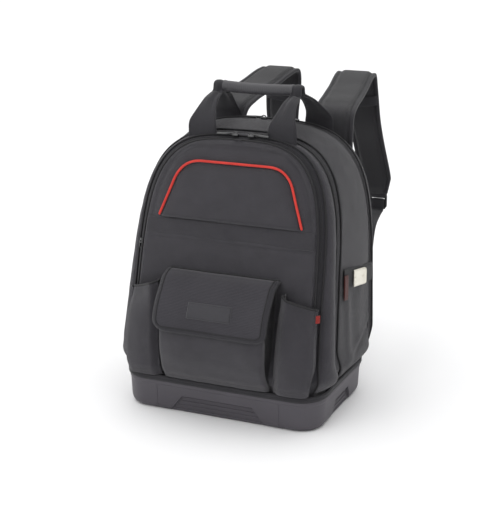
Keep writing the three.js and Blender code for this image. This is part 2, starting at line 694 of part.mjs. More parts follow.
function addHandle() {
  const gripY = HANDLE_FRONT + HANDLE_REACH;
  const gripZ = BODY_HEIGHT + HANDLE_RISE;
  const envelope = bodyEnvelope(2 * SEAM);
  const clearOfBody = (geometry) => geometryOf(biggest(solidOf(geometry).subtract(envelope)));
  const topX = GRIP_LENGTH / 2 + LEG_TOP_WIDTH / 2;
  const leg = (footX, footY, turn, steep) => {
    const end = gripY - turn * (GRIP_CORE + WEBBING_THICK / 2 + SEAM);
    return [
      [footX, footY, BODY_HEIGHT - 34],
      [footX, footY, BODY_HEIGHT - 8],
      [footX, footY + turn * 2, BODY_HEIGHT + steep],
      [mix(footX, topX, 0.5), mix(footY, end, 0.5), mix(BODY_HEIGHT + steep, gripZ, 0.56)],
      [topX, end, gripZ - 5],
      [topX, end, gripZ + 3],
    ];
  };
  const width = (share) => mix(WEBBING, LEG_TOP_WIDTH, Math.min(1, Math.max(0, (share - 0.36) / 0.58)));
  const thick = () => WEBBING_THICK;
  const front = ribbon(leg(HANDLE_SPREAD, HANDLE_FRONT, 1, 12), 14, width, thick);
  addPair("handle_leg_front", clearOfBody(front), "webbing");
  const rear = ribbon(leg(HANDLE_SPREAD + 13, HANDLE_REAR, -1, 5), 14, width, thick);
  addPair("handle_leg_rear", clearOfBody(rear), "webbing");
  const bar = (radius, length) =>
    new THREE.CylinderGeometry(radius, radius, length, GRIP_SEGMENTS).rotateZ(Math.PI / 2);
  const core = bar(GRIP_CORE, GRIP_LENGTH + 2 * LEG_TOP_WIDTH - 2).translate(0, gripY, gripZ - 3);
  add("grip_core", core, "webbing");
  let grip = solidOf(bar(GRIP_RADIUS, GRIP_LENGTH - 2)).subtract(solidOf(bar(GRIP_CORE + SEAM, GRIP_LENGTH + 4)));
  for (let i = 0; i < GRIP_RIBS; i++) {
    const x = (GRIP_LENGTH - 14) * ((i + 0.5) / GRIP_RIBS - 0.5);
    const rib = solidOf(bar(GRIP_RADIUS + 0.9, 3.2)).subtract(solidOf(bar(GRIP_RADIUS - 0.6, 5)));
    grip = grip.add(rib.translate([x, 0, 0]));
  }
  add("handle_grip", geometryOf(grip.translate([0, gripY, gripZ - 3])), "rubber");
}

// Back: a padded panel, a yoke the shoulder straps are sewn under, and the straps themselves.

const backY = (z, proud = 0) => archY(ARCHES.backEdge, z) + BACK_WALL + 2 * SEAM + proud;

function backLayer(levels, proud, thick) {
  const section = (out) => {
    const right = levels.map(([z, half]) => new THREE.Vector3(half, backY(z, out), z));
    const left = levels.map(([z, half]) => new THREE.Vector3(-half, backY(z, out), z));
    return [...left, ...right.reverse()];
  };
  return loft([section(proud), section(proud + thick)]);
}

function strapPath() {
  const rootZ = BACK_PAD_TOP + YOKE_GAP;
  const flat = backY(rootZ + 16) + STRAP_THICK / 2 + 1;
  return [
    [STRAP_ROOT, backY(rootZ) + STRAP_THICK / 2 - SEAM, rootZ],
    ...STRAP_RISES.map(([x, y, z]) => [STRAP_ROOT + x, flat + y, rootZ + z]),
    ...STRAP_FALLS.map(([x, y, z]) => [STRAP_CREST + x, STRAP_REACH + y, BODY_HEIGHT + z]),
  ];
}

function addStraps() {
  const pad = [
    [SHEET_LEVELS[1], 0.93],
    [BELLY_Z, 1],
    [mix(BELLY_Z, SHOULDER_Z, 0.5), 1.03],
    [SHOULDER_Z, 1.04],
    [mix(SHOULDER_Z, BACK_PAD_TOP, 0.5), 1.02],
    [BACK_PAD_TOP - 14, 0.93],
    [BACK_PAD_TOP, 0.82],
  ].map(([z, share]) => [z, share * BACK_PAD_HALF]);
  add("back_pad", backLayer(pad, 0, BACK_PAD_THICK), "body");

  const path = strapPath();
  const width = (share) => {
    const straight = mix(STRAP_WIDTH, STRAP_END_WIDTH, smooth((share - 0.5) / 0.3));
    return share < 0.94 ? straight : mix(straight, 38, (share - 0.94) / 0.06);
  };
  const thick = (share) => (share < 0.97 ? STRAP_THICK : mix(STRAP_THICK, 7, (share - 0.97) / 0.03));
  const envelope = bodyEnvelope(2 * SEAM);
  const strap = solidOf(ribbon(path, 40, width, thick)).subtract(envelope);
  addPair("shoulder_strap", geometryOf(biggest(strap)), "body");
  const under = { lift: (STRAP_THICK + STRAP_BAND_THICK) / 2 + SEAM, from: 0.6, to: 0.64 };
  const band = ribbon(path, 2, (share) => width(share) - 1, () => STRAP_BAND_THICK, under);
  addPair("strap_band", band, "webbing");

  const yokeZ = BACK_PAD_TOP + YOKE_GAP - SEAM;
  const yoke = [
    [BACK_PAD_TOP + SEAM, 0.97 * BACK_PAD_HALF],
    [yokeZ - 2 * SEAM, BACK_PAD_HALF],
  ];
  add("yoke", backLayer(yoke, 0, YOKE_THICK), "webbing");

  const [endX, endY, endZ] = path.at(-1);
  const buckleZ = endZ - SEAM - 1 - BUCKLE_LENGTH / 2;
  const buckle = solidOf(box(BUCKLE_WIDTH, BUCKLE_THICK, BUCKLE_LENGTH, 0, 0, 0));
  const slot = solidOf(box(LOWER_WEBBING + 1, BUCKLE_THICK + 4, 5, 0, 0, -5));
  const upperSlot = solidOf(box(LOWER_WEBBING + 1, BUCKLE_THICK + 4, 5, 0, 0, 5));
  const lock = buckle.subtract(slot).subtract(upperSlot).translate([endX + 1, endY + 5, buckleZ]);
  addPair("strap_buckle", geometryOf(lock), "trim");

  const anchorY = backY(ANCHOR_Z) + 4;
  const [bendX, bendY, bendZ] = LOWER_BEND.map((shift, k) => path.at(-1)[k] + shift);
  const lower = [
    [endX + 1, endY + 1, buckleZ - BUCKLE_LENGTH / 2 - 1.5],
    [endX + 5, endY - 30, buckleZ - BUCKLE_LENGTH / 2 - 4],
    [bendX, bendY, bendZ],
    [mix(bendX, ANCHOR_X, 0.5), mix(bendY, anchorY, 0.526), mix(bendZ, ANCHOR_Z, 0.451)],
    [ANCHOR_X - 3, anchorY + 22, ANCHOR_Z + 14],
    [ANCHOR_X, anchorY, ANCHOR_Z - 6],
  ];
  const webbing = ribbon(lower, 18, () => LOWER_WEBBING, () => LOWER_WEBBING_THICK);
  addPair("lower_webbing", geometryOf(biggest(solidOf(webbing).subtract(envelope))), "webbing");
}

// Zip sliders: a body on the teeth with a pull lying beside it.

function addSliders() {
  const slider = (x, y, z, along) => {
    const body = solidOf(box(11, 7, 4.5, 0, 0, 2.25));
    const pull = solidOf(box(PULL_LENGTH, 5, 1.8, along * (PULL_LENGTH / 2 + 3), 0, 4));
    return geometryOf(body.add(pull).translate([x, y, z]));
  };
  const zipTop = (front, back) => {
    const y = (front.yTop + back.yTop) / 2;
    return [y, Math.max(front.top, back.top) + SEAM];
  };
  const [frontY0, frontZ] = zipTop(ARCHES.panelEdge, ARCHES.frontZipBack);
  const [rearY, rearZ] = zipTop(ARCHES.rearZipFront, ARCHES.rearZipBack);
  add("zip_slider_front_left", slider(-9, frontY0 + 1, frontZ, -1), "trim");
  add("zip_slider_front_right", slider(19, frontY0 + 1, frontZ, 1), "trim");
  add("zip_slider_rear_left", slider(-5, rearY - 0.5, rearZ - 2 * SEAM, -1), "trim");
  add("zip_slider_rear_right", slider(28, rearY - 0.5, rearZ - 2 * SEAM, 1), "trim");
}

add("base_tray", makeTray(), "plastic");
addBody();
addPipings();
addFrontLayers();
addPocket();
addSidePockets();
addSides();
addHandle();
addStraps();
addSliders();

export default backpack;
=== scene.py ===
"""The looks of a tool backpack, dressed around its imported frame.

Shape functions work in millimetres, as the part's source does; a length becomes metres where a mesh is made.
A fabric piece starts as a Patch, a grid of points whose rows run across it and whose columns run along it.
"""

from contextlib import contextmanager
from itertools import product
from math import cos, pi, radians, sin

import bmesh
import bpy
import numpy as np
from mathutils import Matrix, Vector


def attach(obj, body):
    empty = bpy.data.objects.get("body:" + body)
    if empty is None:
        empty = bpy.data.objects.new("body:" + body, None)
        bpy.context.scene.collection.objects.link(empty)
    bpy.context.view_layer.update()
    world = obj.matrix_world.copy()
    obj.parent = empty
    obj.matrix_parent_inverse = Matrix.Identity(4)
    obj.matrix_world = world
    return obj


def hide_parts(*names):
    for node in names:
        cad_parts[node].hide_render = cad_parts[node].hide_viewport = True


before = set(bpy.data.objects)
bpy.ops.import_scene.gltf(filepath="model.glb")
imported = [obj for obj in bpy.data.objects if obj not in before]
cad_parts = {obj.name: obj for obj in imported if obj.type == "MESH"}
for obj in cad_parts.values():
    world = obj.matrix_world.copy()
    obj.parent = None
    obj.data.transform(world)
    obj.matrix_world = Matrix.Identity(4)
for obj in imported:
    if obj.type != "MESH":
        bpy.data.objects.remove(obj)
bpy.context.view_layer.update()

MM = 0.001

# Sizes shared with the part's source

SEAM = 0.3
TRAY_HALF, TRAY_BACK, TRAY_CORNER, TRAY_HEIGHT = 175.0, 122.5, 44.0, 52.0
TRAY_WALL, TRAY_FLOOR, TRAY_DRAFT, TRAY_CHAMFER = 3.5, 4.0, 2.5, 5.0
RECESS_DEPTH, RECESS_HEIGHT = 7.0, 30.0
RECESS_FOOT, RECESS_TOP = 87.0, 63.0
SIDE_RECESS_FOOT, SIDE_RECESS_TOP = 46.0, 30.0

BODY_HEIGHT, BODY_HALF = 462.0, 182.0
WALL, CLOTH = 3.0, 2.0
BODY_SINK, FOOT_PLAY = 10.0, 4.5
BINDING_HEIGHT, BINDING_WALL, BINDING_PROUD = 10.0, 3.0, 3.0
SAG, SAG_Z, BELLY_Z, SHOULDER_Z = 14.0, 84.0, 112.0, 240.0
ARCH_POWER, BOW = 3.4, 5.0
BACK_WALL, ZIP_SINK, PIPING_RADIUS = 4.0, 1.2, 2.2

UPPER_PANEL_FOOT, UPPER_PANEL_TOP = 319.0, 408.0
UPPER_PANEL_HALF_FOOT, UPPER_PANEL_HALF_TOP, UPPER_PANEL_CORNER = 123.0, 91.0, 32.0
LOWER_PANEL_TOP, HEM_HEIGHT, PANEL_MARGIN = 293.0, 24.0, 2.5

POCKET_FOOT, POCKET_TOP, POCKET_HALF = 64.0, 232.0, 93.0
POCKET_SWELL = [9, 20, 26, 28, 26, 14, -11]
POCKET_CORNER, POCKET_WALL = 9.0, 2.5
FLAP_HALF, FLAP_LENGTH, FLAP_THICK, FLAP_CORNER, FLAP_GAP = 99.0, 84.0, 3.0, 18.0, 2.4
LABEL_WIDTH, LABEL_HEIGHT = 77.0, 27.0
SIDE_POCKET_FOOT_INNER, SIDE_POCKET_INNER, SIDE_POCKET_TOP = 98.5, 107.0, 222.0
SIDE_POCKET_SLOPE, SIDE_POCKET_FRONT, SIDE_POCKET_REAR = 0.36, -121.0, -97.0
SIDE_POCKET_FOOT_FRONT, SIDE_POCKET_FOOT_REAR = 11.0, 9.0
SIDE_POCKET_OVERHANG, SIDE_POCKET_SWELL = 4.0, 4.0

WEBBING, WEBBING_THICK = 50.0, 2.6
HANDLE_SPREAD, HANDLE_FRONT, HANDLE_REAR, HANDLE_REACH, HANDLE_RISE = 70.0, -17.0, 116.0, 69.0, 60.0
LEG_TOP_WIDTH, GRIP_LENGTH, GRIP_RADIUS, GRIP_CORE = 15.0, 126.0, 9.5, 5.5

BACK_PAD_HALF, BACK_PAD_TOP = 136.0, 372.0
STRAP_WIDTH, STRAP_END_WIDTH, STRAP_THICK = 70.0, 58.0, 12.0
STRAP_ROOT, STRAP_CREST, STRAP_REACH = 100.0, 73.0, 336.0
YOKE_GAP, YOKE_THICK = 30.0, 5.0
LOWER_WEBBING, LOWER_WEBBING_THICK = 25.0, 2.0
BUCKLE_WIDTH, BUCKLE_LENGTH, BUCKLE_THICK = 32.0, 28.0, 6.0
ANCHOR_X, ANCHOR_Z = 156.0, 120.0

SIDE_STRAP_Z, SIDE_STRAP_DROP, SIDE_STRAP_WIDTH = 229.0, 18.0, 25.0
SIDE_STRAP_FROM, SIDE_STRAP_TO, SIDE_STRAP_CLEAR = -15.0, 104.0, 1.4
FOLD_LENGTH, HOOK_FROM, HOOK_LENGTH, HOOK_HEIGHT, HOOK_THICK = 20.0, 17.0, 51.0, 29.0, 2.0

RIM = TRAY_HEIGHT
BODY_FOOT = RIM - BODY_SINK
BAND_TOP = RIM + BINDING_HEIGHT
AXIS_HEIGHT = 210.0  # of a line through the body, from front to back
POCKET_INSIDE, FLAP_INSIDE = [0, -60.0, 150.0], [0, -60.0, 190.0]
LAYER = WALL + SEAM

STRAIGHT_STEPS, ARCH_STEPS = 46, 66  # points along one side of an arch
THREAD_PITCH, STITCH_LENGTH, STITCH_WIDTH, STITCH_HEIGHT = 3.6, 2.7, 0.75, 0.6
TOOTH_PITCH, TOOTH_LENGTH, TOOTH_WIDTH, TOOTH_HEIGHT, TOOTH_REACH = 2.1, 1.3, 2.2, 1.1, 1.15
SLIDER_THICK = 4.6
FABRIC_SPACING = 4.4  # between the points of a fabric grid
PAD_PRESSURE = 4.0  # in the cloth simulation

# The photograph's camera, in degrees and mm

CAMERA_TURN, CAMERA_RISE = 23.44, 16.55
CAMERA_TARGET, CAMERA_DISTANCE = (6.93, 0, 240.92), 2148.85
CAMERA_LENS, CAMERA_SENSOR = 89.44, 36.0

# The studio, in metres, watts and degrees

KEY_PLACE, KEY_AIM, KEY_SIZE, KEY_POWER = (-1.0, -2.6, 2.2), (0, 0, 0.25), (2.2, 2.2), 21
OVERHEAD_ENERGY, OVERHEAD_SPREAD, OVERHEAD_TILT = 1.5, 85, (-13, -5)
SKY_STRENGTH = 0.71


def mix(a, b, t):
    return a + (b - a) * t


def smooth(t):
    t = np.clip(t, 0.0, 1.0)
    return t * t * (3 - 2 * t)


def hump(value, centre, width):
    """1 at the centre, falling to 0 over about the width."""
    return np.exp(-(((value - centre) / width) ** 2))


def ripple(points, size, seed):
    """Smooth noise between -1 and 1 at points in mm, with swellings about as wide as size."""
    place = np.asarray(points, float) / np.asarray(size, float) + 19.37 * seed
    cell = np.floor(place)
    part = place - cell
    part = part * part * (3 - 2 * part)
    total = np.zeros(place.shape[:-1])
    for corner in product((0, 1), repeat=3):
        at = cell + corner
        hashed = np.sin(at @ np.array([12.9898, 78.233, 37.719])) * 43758.5453
        weight = np.prod(np.where(np.array(corner) == 1, part, 1 - part), axis=-1)
        total += weight * (2 * (hashed - np.floor(hashed)) - 1)
    return total


def unit(vectors):
    return vectors / np.maximum(np.linalg.norm(vectors, axis=-1, keepdims=True), 1e-9)


def lengths(points):
    """The distance run up to each point of a line."""
    steps = np.linalg.norm(np.diff(points, axis=0), axis=1)
    return np.concatenate([[0.0], np.cumsum(steps)])


def resampled(points, count):
    run = lengths(points)
    at = np.linspace(0, run[-1], count)
    return np.stack([np.interp(at, run, points[:, k]) for k in range(points.shape[1])], axis=1)


def smooth_path(points, count):
    """A centripetal Catmull-Rom curve through points, as count evenly spaced points."""
    p = np.asarray(points, float)
    p = np.vstack([2 * p[0] - p[1], p, 2 * p[-1] - p[-2]])
    out = []
    for i in range(1, len(p) - 2):
        p0, p1, p2, p3 = p[i - 1 : i + 3]
        d0, d1, d2 = [max(np.linalg.norm(b - a), 1e-6) ** 0.5 for a, b in ((p0, p1), (p1, p2), (p2, p3))]
        m1 = d1 * ((p1 - p0) / d0 - (p2 - p0) / (d0 + d1) + (p2 - p1) / d1)
        m2 = d1 * ((p2 - p1) / d1 - (p3 - p1) / (d1 + d2) + (p3 - p2) / d2)
        t = np.linspace(0, 1, 40, endpoint=False)[:, None]
        out.append((2 * t**3 - 3 * t**2 + 1) * p1 + (t**3 - 2 * t**2 + t) * m1
                   + (3 * t**2 - 2 * t**3) * p2 + (t**3 - t**2) * m2)
    return resampled(np.vstack([*out, p[-2:-1]]), count)


# The body's arches, as in the part's source


def tray_point(y, outset):
    straight = TRAY_BACK - TRAY_CORNER
    turn = np.arcsin(min(1.0, max(0.0, (abs(y) - straight) / TRAY_CORNER)))
    half = TRAY_HALF - TRAY_CORNER + (TRAY_CORNER + outset) * cos(turn)
    return half, np.sign(y) * (min(abs(y), straight) + (TRAY_CORNER + outset) * sin(turn))


class Arch:
    """One seam of the body, from its left foot over the top to its right foot."""

    def __init__(self, foot, belly, crown, width_share, taper, drop, sag_share=1.0):
        self.top = BODY_HEIGHT - drop
        self.full, self.taper = width_share * BODY_HALF, taper
        self.y_belly, self.y_top = belly * TRAY_BACK, crown * TRAY_BACK
        inside = tray_point(foot * TRAY_BACK, -TRAY_WALL - FOOT_PLAY)
        sag = tray_point(foot * TRAY_BACK, SAG * sag_share)
        self.levels = np.array([
            [BODY_FOOT, *inside], [BAND_TOP + 1, *inside], [SAG_Z, *sag], [BELLY_Z, self.full, self.y_belly],
        ])

    def width(self, z):
        return self.full - self.taper * (z - BELLY_Z) / (self.top - BELLY_Z)

    def _half(self, z):
        rise = np.clip((z - SHOULDER_Z) / (self.top - SHOULDER_Z), 0, 1)
        high = self.width(z) * (1 - rise**ARCH_POWER) ** (1 / ARCH_POWER)
        return np.where(z >= BELLY_Z, high, np.interp(z, self.levels[:, 0], self.levels[:, 1]))

    def _y(self, z):
        t = (z - BELLY_Z) / (self.top - BELLY_Z)
        high = mix(self.y_belly, self.y_top, t) + np.sign(self.y_belly) * BOW * 4 * t * (1 - t)
        return np.where(z >= BELLY_Z, high, np.interp(z, self.levels[:, 0], self.levels[:, 2]))

    @staticmethod
    def _rounded(function, z):
        """The function with its bends near the tray rounded, as fabric rounds them."""
        z = np.asarray(z, float)
        reach = 6.5 * np.clip((165 - z) / 40, 0, 1) * np.clip((z - BODY_FOOT) / 14, 0, 1)
        return np.mean([function(z + reach * k) for k in np.linspace(-1, 1, 9)], axis=0)

    def half(self, z):
        return self._rounded(self._half, z)

    def y(self, z):
        return self._rounded(self._y, z)

    def side(self, inset=0.0):
        """The half width and height of points up one side, the last one on the middle line."""
        low = np.linspace(BODY_FOOT, SHOULDER_Z, STRAIGHT_STEPS, endpoint=False)
        top = self.top - inset
        z = SHOULDER_Z + (top - SHOULDER_Z) * np.sin(TURNS) ** (2 / ARCH_POWER)
        across = np.cos(TURNS) ** (2 / ARCH_POWER)
        across[-1] = 0.0
        x = np.concatenate([self.half(low) - inset, (self.width(z) - inset) * across])
        return x, np.concatenate([low, z])

    def line(self, inset=0.0):
        x, z = self.side(inset)
        right = np.stack([x, self.y(z), z], axis=1)
        left = right[:-1] * [-1, 1, 1]
        return np.vstack([left, right[::-1]])


def even_turns():
    """Angles that space the points of an arch's round part evenly."""
    turn = np.linspace(0, pi / 2, 2000)
    x = 160 * np.cos(turn) ** (2 / ARCH_POWER)
    z = (BODY_HEIGHT - SHOULDER_Z) * np.sin(turn) ** (2 / ARCH_POWER)
    run = lengths(np.stack([x, z], axis=1))
    return np.interp(np.linspace(0, run[-1], ARCH_STEPS), run, turn)


TURNS = even_turns()
PANEL_EDGE = Arch(-0.95, -0.86, -0.23, 0.872, 12, 15, 0.2)
FRONT_ZIP_BACK = Arch(-0.857, -0.82, -0.15, 0.915, 8, 10, 0.5)
GUSSET_MIDDLE = Arch(-0.67, -0.7, -0.12, 1.02, 26, 9)
MID_ZIP_FRONT = Arch(-0.51, -0.5, -0.06, 0.968, 8, 8, 0.8)
MID_ZIP_BACK = Arch(-0.31, -0.32, 0.08, 0.972, 8, 6, 0.7)
WAIST = Arch(0.3, 0.3, 0.38, 1, 10, 2, 0.7)
REAR_ZIP_FRONT = Arch(0.77, 0.84, 0.66, 1.016, 8, 0)
REAR_ZIP_BACK = Arch(0.84, 0.94, 0.76, 1.016, 8, 0)
BACK_EDGE = Arch(0.93, 1.13, 0.97, 0.982, 6, 8)
ARCHES = [PANEL_EDGE, FRONT_ZIP_BACK, GUSSET_MIDDLE, MID_ZIP_FRONT, MID_ZIP_BACK, WAIST,
          REAR_ZIP_FRONT, REAR_ZIP_BACK, BACK_EDGE]


# Materials


class Value:
    """A number that varies over a surface. Arithmetic on it adds Math nodes."""

    def __init__(self, finish, socket):
        self.finish, self.socket = finish, socket

    def math(self, operation, *others, flip=False):
        terms = [self, *others]
        if flip:
            terms.reverse()
        return self.finish.node("Math", dict(enumerate(terms)), operation=operation)

    def __add__(self, other):
        return self.math("ADD", other)

    def __sub__(self, other):
        return self.math("SUBTRACT", other)

    def __rsub__(self, other):
        return self.math("SUBTRACT", other, flip=True)

    def __mul__(self, other):
        return self.math("MULTIPLY", other)

    def __gt__(self, other):
        return self.math("GREATER_THAN", other)

    def __abs__(self):
        return self.math("ABSOLUTE")

    __radd__, __rmul__ = __add__, __mul__

    def sin(self):
        return self.math("SINE")

    def clamped(self):
        return (self * 1.0).math("MINIMUM", 1.0).math("MAXIMUM", 0.0)


class Finish:
    """A material made of nodes around one Principled shader."""

    def __init__(self, name, roughness, metallic=0.0, **constants):
        self.material = bpy.data.materials.new(name)
        self.material.use_nodes = True
        self.tree = self.material.node_tree
        self.tree.nodes.clear()
        output = self.tree.nodes.new("ShaderNodeOutputMaterial")
        self.shader = self.tree.nodes.new("ShaderNodeBsdfPrincipled")
        self.tree.links.new(self.shader.outputs[0], output.inputs["Surface"])
        self.set("Roughness", roughness)
        self.set("Metallic", metallic)
        for key, value in constants.items():
            self.set(key.replace("_", " ").title().replace("Ior", "IOR"), value)

    def node(self, kind, sockets=None, output=0, **settings):
        made = self.tree.nodes.new("ShaderNode" + kind)
        for key, value in settings.items():
            setattr(made, key, value)
        for key, value in (sockets or {}).items():
            self.feed(made.inputs[key], value)
        return Value(self, made.outputs[output])

    def feed(self, socket, value):
        if isinstance(value, Value):
            self.tree.links.new(value.socket, socket)
        else:
            socket.default_value = value

    def set(self, name, value):
        self.feed(self.shader.inputs[name], value)

    def object_place(self):
        return self.node("TexCoord", output="Object")

    def cloth_place(self):
        """Across and along the piece's own fabric, in metres."""
        split = self.tree.nodes.new("ShaderNodeSeparateXYZ")
        self.tree.links.new(self.node("UVMap", uv_map="cloth").socket, split.inputs[0])
        return Value(self, split.outputs[0]), Value(self, split.outputs[1])

    def noise(self, place, scale, detail=2.0, roughness=0.5):
        sockets = {"Vector": place, "Scale": scale, "Detail": detail, "Roughness": roughness}
        return self.node("TexNoise", sockets)

    def blend(self, share, first, second):
        sockets = {0: share, 6: first if isinstance(first, Value) else (*first, 1.0),
                   7: second if isinstance(second, Value) else (*second, 1.0)}
        return self.node("Mix", sockets, output=2, data_type="RGBA")

    def ramp(self, value, low, high):
        """0 below low, 1 above high."""
        return self.node("MapRange", {"Value": value, "From Min": low, "From Max": high})

    def relief(self, height, depth, strength=1.0):
        """Bump whose full height is depth metres."""
        self.set("Normal", self.node("Bump", {"Height": height, "Distance": depth, "Strength": strength}))


def woven(name, dark, light, pitch, depth, mottle=0.5):
    """A plain weave of threads pitch metres apart."""
    roughness = 0.86
    f = Finish(name, roughness, sheen_weight=0.25, sheen_roughness=0.45, specular_ior_level=0.25)
    u, v = f.cloth_place()
    warp, weft = (u * (pi / pitch)).sin(), (v * (pi / pitch)).sin()
    over = (warp * weft) > 0.0
    thread = f.noise(f.object_place(), 1.1 / pitch, 1.0)
    patch = f.noise(f.object_place(), 55.0, 3.0, 0.65)
    cloud = f.noise(f.object_place(), 9.0, 2.0)
    crown = over * abs(warp) + (1.0 - over) * abs(weft)
    tone = crown * 0.22 + thread * (1.1 * mottle) + patch * (0.75 * mottle) + cloud * 0.3
    tone = tone - (0.15 + 0.5 * mottle)
    f.set("Base Color", f.blend(tone.clamped(), dark, light))
    f.set("Roughness", (roughness + 0.06) - crown * 0.12)
    f.relief(crown * 0.8 + thread * 0.5, depth)
    return f.material


def ribbed_fabric(name, dark, light, pitch):
    """Fabric with fine raised ribs across it."""
    f = Finish(name, 0.8, sheen_weight=0.2, sheen_roughness=0.4, specular_ior_level=0.3)
    u, v = f.cloth_place()
    rib = (v * (2 * pi / pitch)).sin() * 0.5 + 0.5
    thread = (u * (2 * pi / 0.0011)).sin() * 0.5 + 0.5
    fleck = f.noise(f.object_place(), 900.0, 1.0)
    cloud = f.noise(f.object_place(), 14.0, 2.0)
    tone = rib * 0.3 + thread * 0.12 + fleck * 0.6 + cloud * 0.35 - 0.35
    f.set("Base Color", f.blend(tone.clamped(), dark, light))
    f.relief(rib + thread * 0.25 + fleck * 0.2, 0.00035)
    return f.material


def belting(name, dark, light, rib=0.0022):
    """Flat webbing: herringbone rows along its length."""
    f = Finish(name, 0.75, sheen_weight=0.15, sheen_roughness=0.4, specular_ior_level=0.3)
    u, v = f.cloth_place()
    side = (u * (2 * pi / (rib * 2))).sin() > 0.0
    slant = u * side + u * (side - 1.0)
    twill = ((v + slant * 0.8) * (2 * pi / (rib * 0.8))).sin() * 0.5 + 0.5
    row = abs((u * (2 * pi / (rib * 2))).sin())
    fleck = f.noise(f.object_place(), 700.0, 1.0)
    cloud = f.noise(f.object_place(), 16.0, 2.0)
    tone = twill * 0.4 + row * 0.25 + fleck * 0.45 + cloud * 0.25 - 0.35
    f.set("Base Color", f.blend(tone.clamped(), dark, light))
    f.relief(twill * 0.6 + row * 0.6, 0.00035)
    return f.material


def corded(name, dark, light, pitch=0.0016):
    """A covered cord whose threads wind around it."""
    f = Finish(name, 0.6, sheen_weight=0.1, specular_ior_level=0.35)
    u, v = f.cloth_place()
    wind = ((v + u * 0.7) * (2 * pi / pitch)).sin() * 0.5 + 0.5
    cloud = f.noise(f.object_place(), 60.0, 3.0)
    f.set("Base Color", f.blend((wind * 0.45 + cloud * 0.7 - 0.1).clamped(), dark, light))
    f.relief(wind, 0.0002)
    return f.material


def spacer_mesh(name, dark, light):
    """Open mesh over foam: rows of small round holes."""
    f = Finish(name, 0.85, sheen_weight=0.2, specular_ior_level=0.2)
    cells = {"Vector": f.object_place(), "Scale": 330.0, "Randomness": 0.25}
    holes = f.node("TexVoronoi", cells, feature="F1")
    rim = f.ramp(holes, 0.18, 0.42)
    cloud = f.noise(f.object_place(), 18.0, 2.0)
    f.set("Base Color", f.blend((rim * 0.75 + cloud * 0.4 - 0.15).clamped(), dark, light))
    f.relief(rim, 0.0006)
    return f.material


def moulded(name, dark, light, roughness, grain, depth, gloss=0.4, scuffs=True):
    """Moulded plastic or rubber with a spark-eroded grain, and a few scuffs."""
    f = Finish(name, roughness, specular_ior_level=gloss)
    place = f.object_place()
    pit = f.noise(place, grain, 3.0, 0.6)
    cloud = f.noise(place, 11.0, 3.0, 0.6)
    tone = cloud * 0.8 + pit * 0.35 - 0.1
    f.set("Base Color", f.blend(tone.clamped(), dark, light))
    worn = cloud * 0.12 + pit * 0.12
    if scuffs:
        scratch = f.node("TexNoise", {"Vector": f.node("Mapping", {"Vector": place, "Scale": (1, 1, 9)}),
                                      "Scale": 60.0, "Detail": 5.0, "Roughness": 0.7})
        worn = worn + f.ramp(scratch, 0.58, 0.72) * 0.14
    f.set("Roughness", worn + (roughness - 0.14))
    f.relief(pit + cloud * 0.4, depth)
    return f.material


def plated(name, colour, roughness, grain):
    """Bare metal with a brushed and slightly spotted surface."""
    f = Finish(name, roughness, 1.0)
    place = f.object_place()
    brushed = f.noise(f.node("Mapping", {"Vector": place, "Scale": (1, 0.08, 1)}), grain, 4.0, 0.7)
    spot = f.noise(place, 420.0, 2.0, 0.6)
    dull = f.ramp(spot, 0.55, 0.8)
    f.set("Base Color", f.blend(dull * 0.4 + brushed * 0.2, colour, tuple(c * 0.62 for c in colour)))
    f.set("Metallic", 0.9 - dull * 0.4)
    f.set("Roughness", brushed * 0.25 + dull * 0.2 + (roughness - 0.1))
    f.relief(brushed + spot * 0.6, 0.0002)
    return f.material


